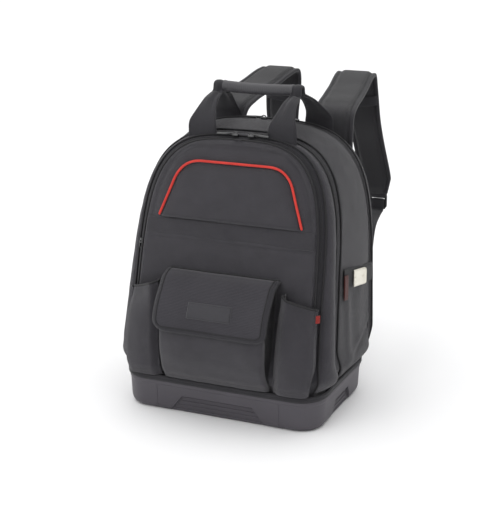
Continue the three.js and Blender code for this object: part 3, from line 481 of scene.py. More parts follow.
FINISHES = {
    "body_fabric": woven("charcoal weave", (0.026, 0.0245, 0.029), (0.072, 0.068, 0.08), 0.0013, 0.0005),
    # The side weave is a darker copy of the body weave: painted shade for the bag's side, which gets less
    # light.
    "side_fabric_painted_shade": woven("painted shade side weave", (0.019, 0.018, 0.0215), (0.055, 0.052, 0.061), 0.0013, 0.0005),
    # The hem weave is a darker copy of the body weave: painted shade under the upper panel's foot.
    "hem": woven("hem weave with painted shade", (0.023, 0.0215, 0.026), (0.062, 0.059, 0.069), 0.0013, 0.0005),
    # The near-black weave is painted shade, for the middle pocket's folded sides.
    "shaded_fabric": woven("painted shade weave", (0.008, 0.0075, 0.009), (0.026, 0.0245, 0.029), 0.0013, 0.0005),
    "binding": belting("grey binding", (0.02, 0.019, 0.023), (0.055, 0.053, 0.061), rib=0.0015),
    "flap": ribbed_fabric("ribbed weave", (0.024, 0.0225, 0.027), (0.07, 0.067, 0.078), 0.0024),
    "strap_fabric": woven("strap weave", (0.013, 0.0125, 0.0145), (0.038, 0.037, 0.042), 0.0011, 0.0004),
    "edge_webbing": belting("black webbing", (0.014, 0.0135, 0.016), (0.05, 0.048, 0.055)),
    "zip_tape": belting("zip tape", (0.018, 0.017, 0.0205), (0.05, 0.048, 0.056), rib=0.0014),
    "black_piping": corded("black piping", (0.004, 0.004, 0.005), (0.018, 0.017, 0.02)),
    "red_piping": corded("red piping", (0.46, 0.02, 0.014), (0.78, 0.05, 0.035)),
    # The side strap's red fold is painted darker than the pocket tab's red: the red is its own colour, the
    # darkness is painted shade.
    "dark_red": belting("red webbing with painted shade", (0.035, 0.008, 0.007), (0.12, 0.024, 0.019)),
    "label": woven("woven label", (0.038, 0.037, 0.042), (0.075, 0.073, 0.082), 0.0007, 0.0002, mottle=0.25),
    "back_mesh": spacer_mesh("spacer mesh", (0.006, 0.006, 0.007), (0.05, 0.049, 0.055)),
    "moulded_base": moulded("moulded plastic", (0.05, 0.046, 0.054), (0.088, 0.081, 0.095), 0.5, 1500.0,
                            0.00012),
    "grip_rubber": moulded("ribbed rubber", (0.035, 0.034, 0.038), (0.075, 0.073, 0.08), 0.5, 1100.0, 0.0001,
                           gloss=0.5, scuffs=False),
    "buckle_plastic": moulded("black plastic", (0.01, 0.01, 0.011), (0.028, 0.028, 0.03), 0.4, 900.0, 0.00006,
                              gloss=0.5, scuffs=False),
    "slider_metal": moulded("black enamel", (0.005, 0.005, 0.006), (0.02, 0.02, 0.022), 0.24, 500.0, 0.00005,
                            gloss=0.9, scuffs=False),
    "hook_metal": plated("brushed steel", (0.82, 0.79, 0.7), 0.42, 260.0),
    "thread": corded("thread", (0.014, 0.0135, 0.016), (0.05, 0.048, 0.056), 0.0006),
    "teeth": moulded("zip teeth", (0.02, 0.0195, 0.0215), (0.045, 0.044, 0.047), 0.55, 700.0, 0.00004,
                     scuffs=False),
    "black_webbing": belting("deep black webbing", (0.004, 0.004, 0.005), (0.02, 0.019, 0.022)),
    "tab_red": belting("red tab", (0.17, 0.014, 0.012), (0.42, 0.035, 0.028), rib=0.0016),
}


# Meshes


def new_object(name, mesh):
    made = bpy.data.objects.new(name, mesh)
    bpy.context.scene.collection.objects.link(made)
    return made


@contextmanager
def edited(mesh):
    """A mesh opened for editing and then written back."""
    edit = bmesh.new()
    edit.from_mesh(mesh)
    yield edit
    edit.to_mesh(mesh)
    edit.free()


def evaluated(made):
    """The mesh that an object's modifiers or curve make."""
    return bpy.data.meshes.new_from_object(made.evaluated_get(bpy.context.evaluated_depsgraph_get()))


def settle(piece, finish, slot, *nodes, levels=0):
    """Gives a piece its finish and its place in the frame."""
    if finish:
        piece.data.materials.clear()
        piece.data.materials.append(FINISHES[finish])
    if levels:
        soft = piece.modifiers.new("Round", "SUBSURF")
        soft.levels = soft.render_levels = levels
    for polygon in piece.data.polygons:
        polygon.use_smooth = True
    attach(piece, "root")
    if nodes:
        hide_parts(*nodes)
    return piece


def grid_mesh(name, points, run_across, run_along, ring=False, merge=False):
    """A mesh of a grid of points in mm, with the fabric's own place as its UV map, in metres."""
    rows, columns = points.shape[:2]
    wrap = columns if ring else columns - 1
    r, c = np.meshgrid(np.arange(rows - 1), np.arange(wrap), indexing="ij")
    r, c = r.ravel(), c.ravel()
    d = (c + 1) % columns
    faces = np.stack([r * columns + c, r * columns + d, (r + 1) * columns + d, (r + 1) * columns + c], axis=1)
    mesh = bpy.data.meshes.new(name)
    mesh.from_pydata((points.reshape(-1, 3) * MM).tolist(), [], faces.tolist())
    layer = mesh.uv_layers.new(name="cloth")
    corners = ((r, c), (r, c + 1), (r + 1, c + 1), (r + 1, c))
    uv = np.stack([np.stack([run_across[at], run_along[at]], 1) for at in corners], axis=1)
    layer.data.foreach_set("uv", (uv.reshape(-1, 2) * MM).ravel())
    if merge:
        with edited(mesh) as edit:
            bmesh.ops.remove_doubles(edit, verts=edit.verts, dist=0.00005)
    return mesh


class Patch:
    """A sheet of fabric as a grid of points, with its outward normals."""

    def __init__(self, points, outward):
        self.points = np.array(points, float)
        self.outward = outward
        self.refresh()

    def refresh(self):
        p = self.points
        normals = unit(np.cross(np.gradient(p, axis=1), np.gradient(p, axis=0)))
        facing = np.sum(normals * self.outward(p), axis=-1)
        self.turned = np.median(facing) < 0
        self.normals = -normals if self.turned else normals
        steps_a = np.linalg.norm(np.diff(p, axis=1), axis=2)
        steps_b = np.linalg.norm(np.diff(p, axis=0), axis=2)
        self.across = np.concatenate([np.zeros((len(p), 1)), np.cumsum(steps_a, axis=1)], axis=1)
        self.across -= self.across[:, -1:] / 2
        self.along = np.concatenate([np.zeros((1, p.shape[1])), np.cumsum(steps_b, axis=0)], axis=0)

    def swell(self, amount):
        self.points = self.points + self.normals * np.asarray(amount)[..., None]
        self.refresh()

    def at(self, row, column, lift=0.0):
        """Points and normals at shares 0..1 of the rows and columns."""
        row, column = np.broadcast_arrays(np.atleast_1d(row), np.atleast_1d(column))
        i = np.clip(row, 0, 1) * (self.points.shape[0] - 1)
        j = np.clip(column, 0, 1) * (self.points.shape[1] - 1)
        i0 = np.minimum(i.astype(int), self.points.shape[0] - 2)
        j0 = np.minimum(j.astype(int), self.points.shape[1] - 2)
        a, b = (i - i0)[:, None], (j - j0)[:, None]

        def blend(grid):
            low = mix(grid[i0, j0], grid[i0, j0 + 1], b)
            return mix(low, mix(grid[i0 + 1, j0], grid[i0 + 1, j0 + 1], b), a)

        normals = unit(blend(self.normals))
        return blend(self.points) + normals * lift, normals

    def seam(self, row, column, lift=0.35):
        """A row of stitches on the patch."""
        STITCHES.append(self.at(row, column, lift))
        return self

    def piece(self, name, finish, slot, *nodes, thick=CLOTH, levels=1, merge=False):
        mesh = grid_mesh(name, self.points, self.across, self.along, merge=merge)
        if self.turned:
            mesh.flip_normals()
        made = new_object(name, mesh)
        wall = made.modifiers.new("Cloth thickness", "SOLIDIFY")
        wall.thickness, wall.offset, wall.use_rim = thick * MM, -1.0, True
        return settle(made, finish, slot, *nodes, levels=levels)


STITCHES = []  # pairs of points and normals, one for each row of stitches


def from_axis(p):
    """Away from the line through the body, front to back."""
    return p * [1, 0, 1] - [0, 0, AXIS_HEIGHT]


def forwards(p):
    return np.broadcast_to([0.0, -1.0, 0.0], p.shape)


def backwards(p):
    return np.broadcast_to([0.0, 1.0, 0.0], p.shape)


def frames(path):
    """Tangent, direction of the width and normal of a strap at each point of its path."""
    tangent = unit(np.gradient(path, axis=0))
    across = unit(np.array([1.0, 0, 0]) - tangent * tangent[:, :1])
    return tangent, across, unit(np.cross(tangent, across))


def swept(name, path, across, normal, profile, finish, slot, *nodes, levels=0):
    """A closed solid along a path. The profile gives each section's points as widths and heights in mm."""
    points = path[:, None, :] + profile[..., :1] * across[:, None, :] + profile[..., 1:] * normal[:, None, :]
    rows, columns = points.shape[:2]
    loop = np.concatenate([points, points[:, :1]], axis=1)
    steps = np.linalg.norm(np.diff(loop, axis=1), axis=2)
    around = np.concatenate([np.zeros((rows, 1)), np.cumsum(steps, axis=1)], axis=1)
    along = np.repeat(lengths(path)[:, None], columns + 1, axis=1)
    mesh = grid_mesh(name, points, around, along, ring=True)
    with edited(mesh) as edit:
        edit.verts.ensure_lookup_table()
        for start, order in ((0, 1), ((rows - 1) * columns, -1)):
            edit.faces.new([edit.verts[start + k] for k in range(columns)][::order])
        bmesh.ops.recalc_face_normals(edit, faces=edit.faces)
    return settle(new_object(name, mesh), finish, slot, *nodes, levels=levels)


def flat_profile(width, thick, rows, points=7):
    """Sections of a belt with rounded edges, each as widths and heights."""
    width, thick = np.broadcast_to(width, rows), np.broadcast_to(thick, rows)
    share = np.linspace(-1, 1, points)
    face = np.sqrt(np.clip(1 - np.abs(share) ** 6, 0.12, 1))
    upper = np.stack([share, face], 1)
    lower = np.stack([share[::-1], -face], 1)
    loop = np.concatenate([upper, lower])
    return loop[None] * np.stack([width / 2, thick / 2], 1)[:, None, :]


def round_profile(radius, rows, sides=12):
    turn = np.linspace(0, 2 * pi, sides, endpoint=False)
    ring = np.stack([np.cos(turn), np.sin(turn)], 1)
    return ring[None] * np.broadcast_to(radius, rows)[:, None, None]


def cord_along(name, points, normals, radius, finish, slot, *nodes, sides=12):
    """A round cord along points that lie on fabric with these normals."""
    tangent = unit(np.gradient(points, axis=0))
    across = unit(np.cross(normals, tangent))
    up = unit(np.cross(tangent, across))
    rows = len(points)
    run = lengths(points)
    ends = np.minimum(run, run[-1] - run) / radius
    taper = np.sqrt(np.clip(1 - (1 - np.clip(ends, 0, 1)) ** 2, 0.08, 1))
    profile = round_profile(radius * taper, rows, sides)
    return swept(name, points, across, up, profile, finish, slot, *nodes)


# Things that repeat along a line


def repeat_tree():
    """A node tree that puts a rounded bead on every point, turned by the point's run and out directions."""
    tree = bpy.data.node_groups.new("Beads along a line", "GeometryNodeTree")
    face = tree.interface
    face.new_socket("Points", in_out="INPUT", socket_type="NodeSocketGeometry")
    sizes = {"Length": 0.003, "Width": 0.0008, "Height": 0.0006, "Unevenness": 0.1}
    for key, value in sizes.items():
        face.new_socket(key, in_out="INPUT", socket_type="NodeSocketFloat").default_value = value
    face.new_socket("Segments", in_out="INPUT", socket_type="NodeSocketInt").default_value = 6
    face.new_socket("Seed", in_out="INPUT", socket_type="NodeSocketInt").default_value = 7
    face.new_socket("Finish", in_out="INPUT", socket_type="NodeSocketMaterial")
    face.new_socket("Beads", in_out="OUTPUT", socket_type="NodeSocketGeometry")

    def add(kind, links=None, **settings):
        node = tree.nodes.new(kind)
        for key, value in settings.items():
            setattr(node, key, value)
        for key, value in (links or {}).items():
            if isinstance(value, bpy.types.NodeSocket):
                tree.links.new(value, node.inputs[key])
            else:
                node.inputs[key].default_value = value
        return node

    given = add("NodeGroupInput").outputs
    out = add("GeometryNodeInputNamedAttribute", {"Name": "out"}, data_type="FLOAT_VECTOR").outputs[0]
    run = add("GeometryNodeInputNamedAttribute", {"Name": "run"}, data_type="FLOAT_VECTOR").outputs[0]
    turn = add("FunctionNodeAxesToRotation", {"Primary Axis": out, "Secondary Axis": run},
               primary_axis="Z", secondary_axis="X").outputs[0]
    ball = {"Segments": given["Segments"], "Rings": 4, "Radius": 0.5}
    bead = add("GeometryNodeMeshUVSphere", ball).outputs[0]
    sides = {0: given["Length"], 1: given["Width"], 2: given["Height"]}
    size = add("ShaderNodeCombineXYZ", sides).outputs[0]
    least = add("ShaderNodeMath", {0: 1.0, 1: given["Unevenness"]}, operation="SUBTRACT").outputs[0]
    chance = add("FunctionNodeRandomValue", {"Seed": given["Seed"]}, data_type="FLOAT")
    tree.links.new(least, chance.inputs[2])
    chance.inputs[3].default_value = 1.0
    scale = add("ShaderNodeVectorMath", {0: size}, operation="SCALE")
    tree.links.new(chance.outputs[1], scale.inputs["Scale"])
    placed = add("GeometryNodeInstanceOnPoints", {"Points": given["Points"], "Instance": bead,
                                                  "Rotation": turn, "Scale": scale.outputs[0]}).outputs[0]
    real = add("GeometryNodeRealizeInstances", {"Geometry": placed}).outputs[0]
    shaded = add("GeometryNodeSetShadeSmooth", {"Geometry": real}).outputs[0]
    done = add("GeometryNodeSetMaterial", {"Geometry": shaded, "Material": given["Finish"]}).outputs[0]
    tree.links.new(done, add("NodeGroupOutput").inputs[0])
    return tree


BEADS = repeat_tree()


def beads(name, places, finish, slot, pitch, length, width, height, shift=0.0, uneven=0.1, segments=6):
    """Stitches or teeth on lines. Places holds pairs of points and normals; sizes in mm."""
    points, outs, runs = [], [], []
    for line, normals in places:
        run = lengths(line)
        count = max(2, int(round(run[-1] / pitch)))
        at = (np.arange(count) + 0.5 + shift) * run[-1] / count
        at = at[at < run[-1]]
        points.append(np.stack([np.interp(at, run, line[:, k]) for k in range(3)], 1))
        outs.append(np.stack([np.interp(at, run, normals[:, k]) for k in range(3)], 1))
        slope = unit(np.gradient(line, axis=0))
        runs.append(np.stack([np.interp(at, run, slope[:, k]) for k in range(3)], 1))
    points, outs, runs = (np.vstack(x) for x in (points, outs, runs))
    mesh = bpy.data.meshes.new(name + " places")
    mesh.from_pydata((points * MM).tolist(), [], [])
    for key, values in (("out", unit(outs)), ("run", unit(runs))):
        mesh.attributes.new(key, "FLOAT_VECTOR", "POINT").data.foreach_set("vector", values.ravel())
    holder = new_object(name + " places", mesh)
    modifier = holder.modifiers.new("Beads", "NODES")
    modifier.node_group = BEADS
    values = {"Length": length * MM, "Width": width * MM, "Height": height * MM, "Unevenness": uneven,
              "Segments": segments, "Seed": 7, "Finish": FINISHES[finish]}
    for item in BEADS.interface.items_tree:
        if item.in_out == "INPUT" and item.name in values:
            modifier[item.identifier] = values[item.name]
    bpy.context.view_layer.update()
    baked = evaluated(holder)
    bpy.data.objects.remove(holder)
    made = new_object(name, baked)
    if "cloth" not in baked.uv_layers:
        baked.uv_layers.new(name="cloth")
    return settle(made, None, slot)


# Body


def blended(rows, count, lap=0.0):
    """Lines between two or three arches, from the first to the last. A lap reaches past both, in shares."""
    lines = [row.line() for row in rows]
    v = np.linspace(-lap, 1 + lap, count)[:, None, None]
    if len(lines) == 2:
        return mix(lines[0], lines[1], v)
    a, m, b = lines
    return a * (2 * v * v - 3 * v + 1) + m * (4 * v - 4 * v * v) + b * (2 * v * v - v)


def edge_distance(patch):
    """How far each point is from the patch's two long edges, in mm."""
    from_front = patch.along
    return np.minimum(from_front, from_front[-1:] - from_front)


def side_folds(p):
    """Folds on the bag's sides: upright ones at the front and one slanting to the rear foot."""
    y, z = p[..., 1], p[..., 2]
    low = smooth((z - 85) / 25) * (1 - smooth((z - 190) / 30))
    upright = 3.0 * hump(y, 2, 10) - 3.0 * hump(y, 28, 16) - 1.6 * hump(y, 78, 24) * hump(z, 150, 45)
    from_slant = z - (74 + (y + 10) * 0.42)
    slant = 1.6 * hump(from_slant, 11, 8) - 2.6 * hump(from_slant, 0, 6)
    return (upright * low + slant) * smooth((y + 34) / 20) * (np.abs(p[..., 0]) > 120)


def body_band(name, rows, count, finish="body_fabric", slot="body_fabric", wall=WALL, sink=0.0, lap=0.0,
              bulge=0.0, creases=0.0, seed=1, overhang=(0, 0), folds=None, seams=True):
    """The fabric between arches: it swells between its seams, dips at them and is a little creased."""
    patch = Patch(blended(rows, count, lap), from_axis)
    away = edge_distance(patch)
    share = np.linspace(0, 1, count)[:, None]
    z = patch.points[..., 2]
    loose = smooth((z - BAND_TOP) / 30)
    p = patch.points
    crease = ripple(p * [1, 1, 0.45], 34, seed) * 0.6 + ripple(p, 15, seed + 1) * 0.28
    pucker = ripple(p, 6.5, seed + 2) * hump(away, 0, 9) * 0.35
    dip = 1.1 * hump(away, 0, 3.0)
    if folds:
        patch.swell(folds(p))
    hang = mix(*overhang, share) * hump(z, 75, 13) * smooth((z - BAND_TOP + 2) / 9)
    patch.swell(hang)
    patch.swell(loose * (bulge * 4 * share * (1 - share) + creases * crease + creases * pucker - dip) - sink)
    if seams:
        run = np.linspace(0.055, 0.945, 900)
        width = float(np.mean(patch.along[-1]))
        for side in (4.2 / width, 1 - 4.2 / width):
            patch.seam(np.full_like(run, side), run)
    patch.piece(name, finish, slot, name, thick=wall)
    return patch


def body_bands():
    tape = dict(finish="zip_tape", slot="zip_tape", wall=WALL - ZIP_SINK, sink=ZIP_SINK, lap=0.25,
                seams=False)
    return {
        "front_zip": body_band("front_zip", [PANEL_EDGE, FRONT_ZIP_BACK], 7, **tape),
        "mid_gusset": body_band("mid_gusset", [FRONT_ZIP_BACK, GUSSET_MIDDLE, MID_ZIP_FRONT], 13,
                                bulge=2.6, creases=1.3, seed=2, overhang=(2, 5)),
        "mid_zip": body_band("mid_zip", [MID_ZIP_FRONT, MID_ZIP_BACK], 7, **tape),
        # The rear gusset takes the darker side weave as painted shade.
        "rear_gusset": body_band("rear_gusset", [MID_ZIP_BACK, WAIST, REAR_ZIP_FRONT], 34, "side_fabric_painted_shade",
                                 bulge=3.0, creases=2.0, seed=3, overhang=(5, 8), folds=side_folds),
        "rear_zip": body_band("rear_zip", [REAR_ZIP_FRONT, REAR_ZIP_BACK], 5, overhang=(8, 8), **tape),
        "back_edge": body_band("back_edge", [REAR_ZIP_BACK, BACK_EDGE], 9,
                               bulge=0.8, creases=0.6, seed=4, overhang=(8, 6)),
    }


def zip_teeth(bands):
    """Two rows of interlocked teeth along the middle of each zip."""
    for name, patch in bands.items():
        if not name.endswith("zip"):
            continue
        run = np.linspace(0.07, 0.93, 1500)
        line, normals = patch.at(np.full_like(run, 0.5), run, 0.3)
        side = unit(np.cross(normals, np.gradient(line, axis=0)))
        for k, reach in enumerate((-TOOTH_REACH, TOOTH_REACH)):
            beads(f"{name}_teeth_{k + 1}", [(line + side * reach, normals)], "teeth", "zip_tape", TOOTH_PITCH,
                  TOOTH_LENGTH, TOOTH_WIDTH, TOOTH_HEIGHT, shift=0.5 * k, uneven=0.03, segments=8)


def arch_cord(name, row, shift, *nodes, radius=PIPING_RADIUS * 0.62):
    points = row.line(-0.3 - radius * 0.5)
    points[:, 1] += shift
    keep = points[:, 2] > BAND_TOP + 3
    points = points[keep]
    points = resampled(points, 330)
    points = points + ripple(points, 30, 5)[:, None] * [0.25, 0.35, 0.2]
    out = unit(from_axis(points))
    cord_along(name, points, out, radius, "black_piping", "black_piping", *nodes)


def pipings():
    for name, row, shift in (("piping_front", PANEL_EDGE, -WALL / 2), ("piping_mid_front", MID_ZIP_FRONT, 0),
                             ("piping_mid_back", MID_ZIP_BACK, 0), ("piping_rear", REAR_ZIP_BACK, 0)):
        arch_cord(name, row, shift, name)
    arch_cord("front_zip_seam", FRONT_ZIP_BACK, 0, radius=1.3)


# Front


def front_y(z, proud=0.0):
    return PANEL_EDGE.y(z) - proud


def arch_plate(row, columns, y_of):
    """A grid over the whole outline of an arch."""
    x, z = row.side()
    share = np.linspace(-1, 1, columns)
    xs = x[:, None] * share
    zs = np.repeat(z[:, None], columns, axis=1)
    return np.stack([xs, y_of(xs, zs), zs], axis=-1)


def front_panel():
    """The front: a stitched border along its edge, padded inside it."""
    patch = Patch(arch_plate(PANEL_EDGE, 67, lambda x, z: front_y(z, WALL)), forwards)
    p = patch.points
    edge = np.minimum(PANEL_EDGE.half(p[..., 2]) - np.abs(p[..., 0]), (PANEL_EDGE.top - p[..., 2]) * 0.75)
    loose = smooth((p[..., 2] - BAND_TOP) / 26)
    padding = 1.6 * smooth((edge - 8) / 16) * smooth((p[..., 2] - 300) / 30)
    groove = -1.0 * hump(edge, 11, 2.2) - 1.2 * hump(edge, 0, 3)
    crease = ripple(p, (44, 20, 34), 11) * 1.2 + ripple(p, 15, 12) * 0.4
    patch.swell(loose * (padding + groove + crease * 0.8))
    x, z = PANEL_EDGE.side(9.0)
    line = np.vstack([np.stack([-x, z], 1), np.stack([x, z], 1)[::-1][1:]])
    line = line[line[:, 1] > BAND_TOP + 8]
    STITCHES.append(on_panel(patch, line[:, 0], line[:, 1], 0.35))
    patch.piece("front_panel", "body_fabric", "body_fabric", "front_panel", thick=WALL, merge=True)
    return patch


def on_panel(panel, x, z, lift):
    """Points on the front panel's fabric and its normals there."""
    rows = np.interp(z, panel.points[:, 0, 2], np.linspace(0, 1, len(panel.points)))
    half = np.interp(z, *PANEL_EDGE.side()[::-1])
    return panel.at(rows, 0.5 + 0.5 * x / half, lift)


def front_layer(levels, proud):
    """A grid on the front panel, its half width given by levels of z and half width."""
    columns = 58
    levels = np.array(levels, float)
    count = int((levels[-1, 0] - levels[0, 0]) / FABRIC_SPACING) + 2
    z = np.linspace(levels[0, 0], levels[-1, 0], count)
    half = np.interp(z, levels[:, 0], levels[:, 1])
    share = np.linspace(-1, 1, columns)
    x = half[:, None] * share
    zs = np.repeat(z[:, None], columns, axis=1)
    return Patch(np.stack([x, front_y(zs, proud), zs], axis=-1), forwards)


def panel_half(z):
    return PANEL_EDGE.half(z) - PANEL_MARGIN


def lower_panel():
    z = np.linspace(SAG_Z - 12, LOWER_PANEL_TOP, 60)
    patch = front_layer(np.stack([z, panel_half(z)], 1), LAYER + CLOTH)
    p = patch.points
    crease = ripple(p, (64, 20, 30), 21) * 1.7 + ripple(p, (30, 20, 17), 23) * 0.8 + ripple(p, 11, 22) * 0.25
    top = -1.2 * hump(p[..., 2], LOWER_PANEL_TOP, 5)
    patch.swell(smooth((p[..., 2] - 80) / 30) * (crease + top))
    run = np.linspace(0.02, 0.98, 500)
    patch.seam(np.full_like(run, 0.972), run)
    patch.piece("lower_panel", "body_fabric", "body_fabric", "lower_panel")


def front_hem():
    foot = LOWER_PANEL_TOP - 3
    z = np.linspace(foot, foot + HEM_HEIGHT + 4, 12)
    patch = front_layer(np.stack([z, panel_half(z)], 1), LAYER + 1.6)
    p = patch.points
    patch.swell(0.6 * hump(p[..., 2], foot + 12, 9) + 0.5 * ripple(p, 24, 31))
    # The hem's darker weave is painted shade under the upper panel.
    patch.piece("front_hem", "hem", "edge_webbing", "front_hem")


def upper_half(z):
    """Half width of the upper panel at a height, with its two round top corners."""
    foot = UPPER_PANEL_FOOT
    side = mix(UPPER_PANEL_HALF_FOOT, UPPER_PANEL_HALF_TOP, (z - foot) / (UPPER_PANEL_TOP - foot))
    bend = UPPER_PANEL_TOP - UPPER_PANEL_CORNER
    t = 1 - np.sqrt(np.clip(1 - (z - bend) / UPPER_PANEL_CORNER, 0, 1))
    start = mix(UPPER_PANEL_HALF_FOOT, UPPER_PANEL_HALF_TOP, (bend - foot) / (UPPER_PANEL_TOP - foot))
    end = UPPER_PANEL_HALF_TOP - UPPER_PANEL_CORNER
    round_part = mix(mix(start, UPPER_PANEL_HALF_TOP, t), mix(UPPER_PANEL_HALF_TOP, end, t), t)
    return np.where(z < bend, side, round_part)


def upper_panel(panel):
    bend = UPPER_PANEL_TOP - UPPER_PANEL_CORNER
    t = np.linspace(0, 1, 15)
    z = np.concatenate([np.linspace(UPPER_PANEL_FOOT, bend, 14, endpoint=False),
                        bend + UPPER_PANEL_CORNER * (1 - (1 - t) ** 2)])
    levels = np.stack([z, upper_half(z)], 1)
    share = np.linspace(-1, 1, 56)
    zs = np.repeat(z[:, None], len(share), axis=1)
    x = levels[:, 1:] * share
    patch = Patch(np.stack([x, front_y(zs, LAYER + WALL), zs], axis=-1), forwards)
    p = patch.points
    edge = np.minimum(levels[:, 1:] - np.abs(p[..., 0]), UPPER_PANEL_TOP - p[..., 2])
    foot_roll = 1.2 * hump(p[..., 2], UPPER_PANEL_FOOT + 5, 5)
    patch.swell(1.5 * smooth(edge / 18) - 0.7 * hump(edge, 0, 3) + foot_roll
                + 1.0 * ripple(p, (56, 20, 34), 41) + 0.3 * ripple(p, 15, 42))
    run = np.linspace(0.03, 0.97, 400)
    patch.seam(np.full_like(run, 0.045), run)
    patch.piece("upper_panel", "body_fabric", "body_fabric", "upper_panel", thick=WALL)

    edge_line = np.concatenate([np.stack([-levels[:, 1], z], 1), np.stack([levels[:, 1], z], 1)[::-1]])
    edge_line = resampled(edge_line, 260)
    slope = unit(np.gradient(edge_line, axis=0))
    out = np.stack([-slope[:, 1], slope[:, 0]], 1) * (PIPING_RADIUS + 0.3)
    line = edge_line + out
    radius = PIPING_RADIUS * 0.95
    points, normals = on_panel(panel, line[:, 0], line[:, 1], PIPING_RADIUS + 0.9)
    cord_along("red_piping", points, normals, radius, "red_piping", "red_piping", "red_piping")


def pocket_front(z):
    t = (np.asarray(z, float) - POCKET_FOOT) / (POCKET_TOP - POCKET_FOOT)
    table = np.array(POCKET_SWELL, float)
    at = np.clip(t, 0, 1) * (len(table) - 1)
    value = np.mean([np.interp(np.clip(at + d, 0, len(table) - 1), np.arange(len(table)), table)
                     for d in np.linspace(-0.4, 0.4, 7)], axis=0)
    return -TRAY_BACK - value


def front_pocket():
    """The middle pocket: its sides fold in behind a swollen front."""
    z = np.linspace(POCKET_FOOT - 1, POCKET_TOP - 6, 42)
    rows = []
    for level in z:
        front = float(pocket_front(level)) + 6.0 * smooth((80 - level) / 16)
        back = float(front_y(level, LAYER + CLOTH + 0.3))
        turn = np.linspace(0, pi / 2, 7)
        bend_x = POCKET_HALF - POCKET_CORNER * (1 - np.sin(turn))
        bend_y = front + POCKET_CORNER * (1 - np.cos(turn))
        depth = np.linspace(bend_y[-1], max(back, bend_y[-1] + 1), 9)[1:]
        fold = 12.0 * np.sin(np.linspace(0, pi, 9)[1:]) ** 0.7 * smooth((level - 66) / 50)
        half_x = np.concatenate([np.linspace(0, bend_x[0], 24, endpoint=False), bend_x, POCKET_HALF - fold])
        half_y = np.concatenate([np.full(24, front), bend_y, depth])
        x = np.concatenate([-half_x[::-1], half_x[1:]])
        y = np.concatenate([half_y[::-1], half_y[1:]])
        rows.append(np.stack([x, y, np.full_like(x, level)], 1))
    patch = Patch(np.array(rows), lambda p: p - POCKET_INSIDE)
    p = patch.points
    inside = smooth((POCKET_HALF - np.abs(p[..., 0])) / 30)
    belly = 3.0 * inside * hump(p[..., 2], 120, 45)
    crease = ripple(p, (60, 40, 26), 51) * 2.0 + ripple(p, (24, 16, 15), 52) * 0.7
    foot = hump(p[..., 2], POCKET_FOOT + 2, 9)
    gather = ripple(p, (9, 30, 40), 53) * foot * 0.9
    patch.swell(belly + crease * smooth((p[..., 2] - 66) / 25) + gather)
    run = np.linspace(0.2, 0.8, 300)
    patch.seam(np.full_like(run, 0.055), run)
    # The folded sides get a near-black copy of the body weave: painted shade in the folds between the
    # pockets.
    edge = 8
    for name, part, finish in (("front_pocket", slice(edge, -edge), "body_fabric"),
                               ("pocket_side_left", slice(0, edge + 1), "shaded_fabric"),
                               ("pocket_side_right", slice(-edge - 1, None), "shaded_fabric")):
        cut = Patch(patch.points[:, part], patch.outward)
        cut.piece(name, finish, "body_fabric", "front_pocket", thick=POCKET_WALL)


def flap_path():
    back = LAYER + CLOTH + SEAM
    out = FLAP_THICK / 2 + FLAP_GAP
    top = POCKET_TOP + out + 1

    def swell(z):
        table, t = POCKET_SWELL, (z - POCKET_FOOT) / (POCKET_TOP - POCKET_FOOT)
        return -TRAY_BACK - float(np.interp(t * (len(table) - 1), np.arange(len(table)), table))

    levels = [top - FLAP_LENGTH * share for share in (0.25, 0.5, 0.75, 1)]
    hang = [[0, swell(min(z, POCKET_TOP)) - out, z] for z in levels]
    plane = float(front_y(top, back + SEAM))
    return smooth_path([
        [0, plane, top],
        [0, mix(float(front_y(top, back)), swell(POCKET_TOP), 0.5), top + 2],
        [0, swell(POCKET_TOP) + 8, top + 1],
        [0, swell(POCKET_TOP) - out, top - 4],
        *hang,
    ], 120)


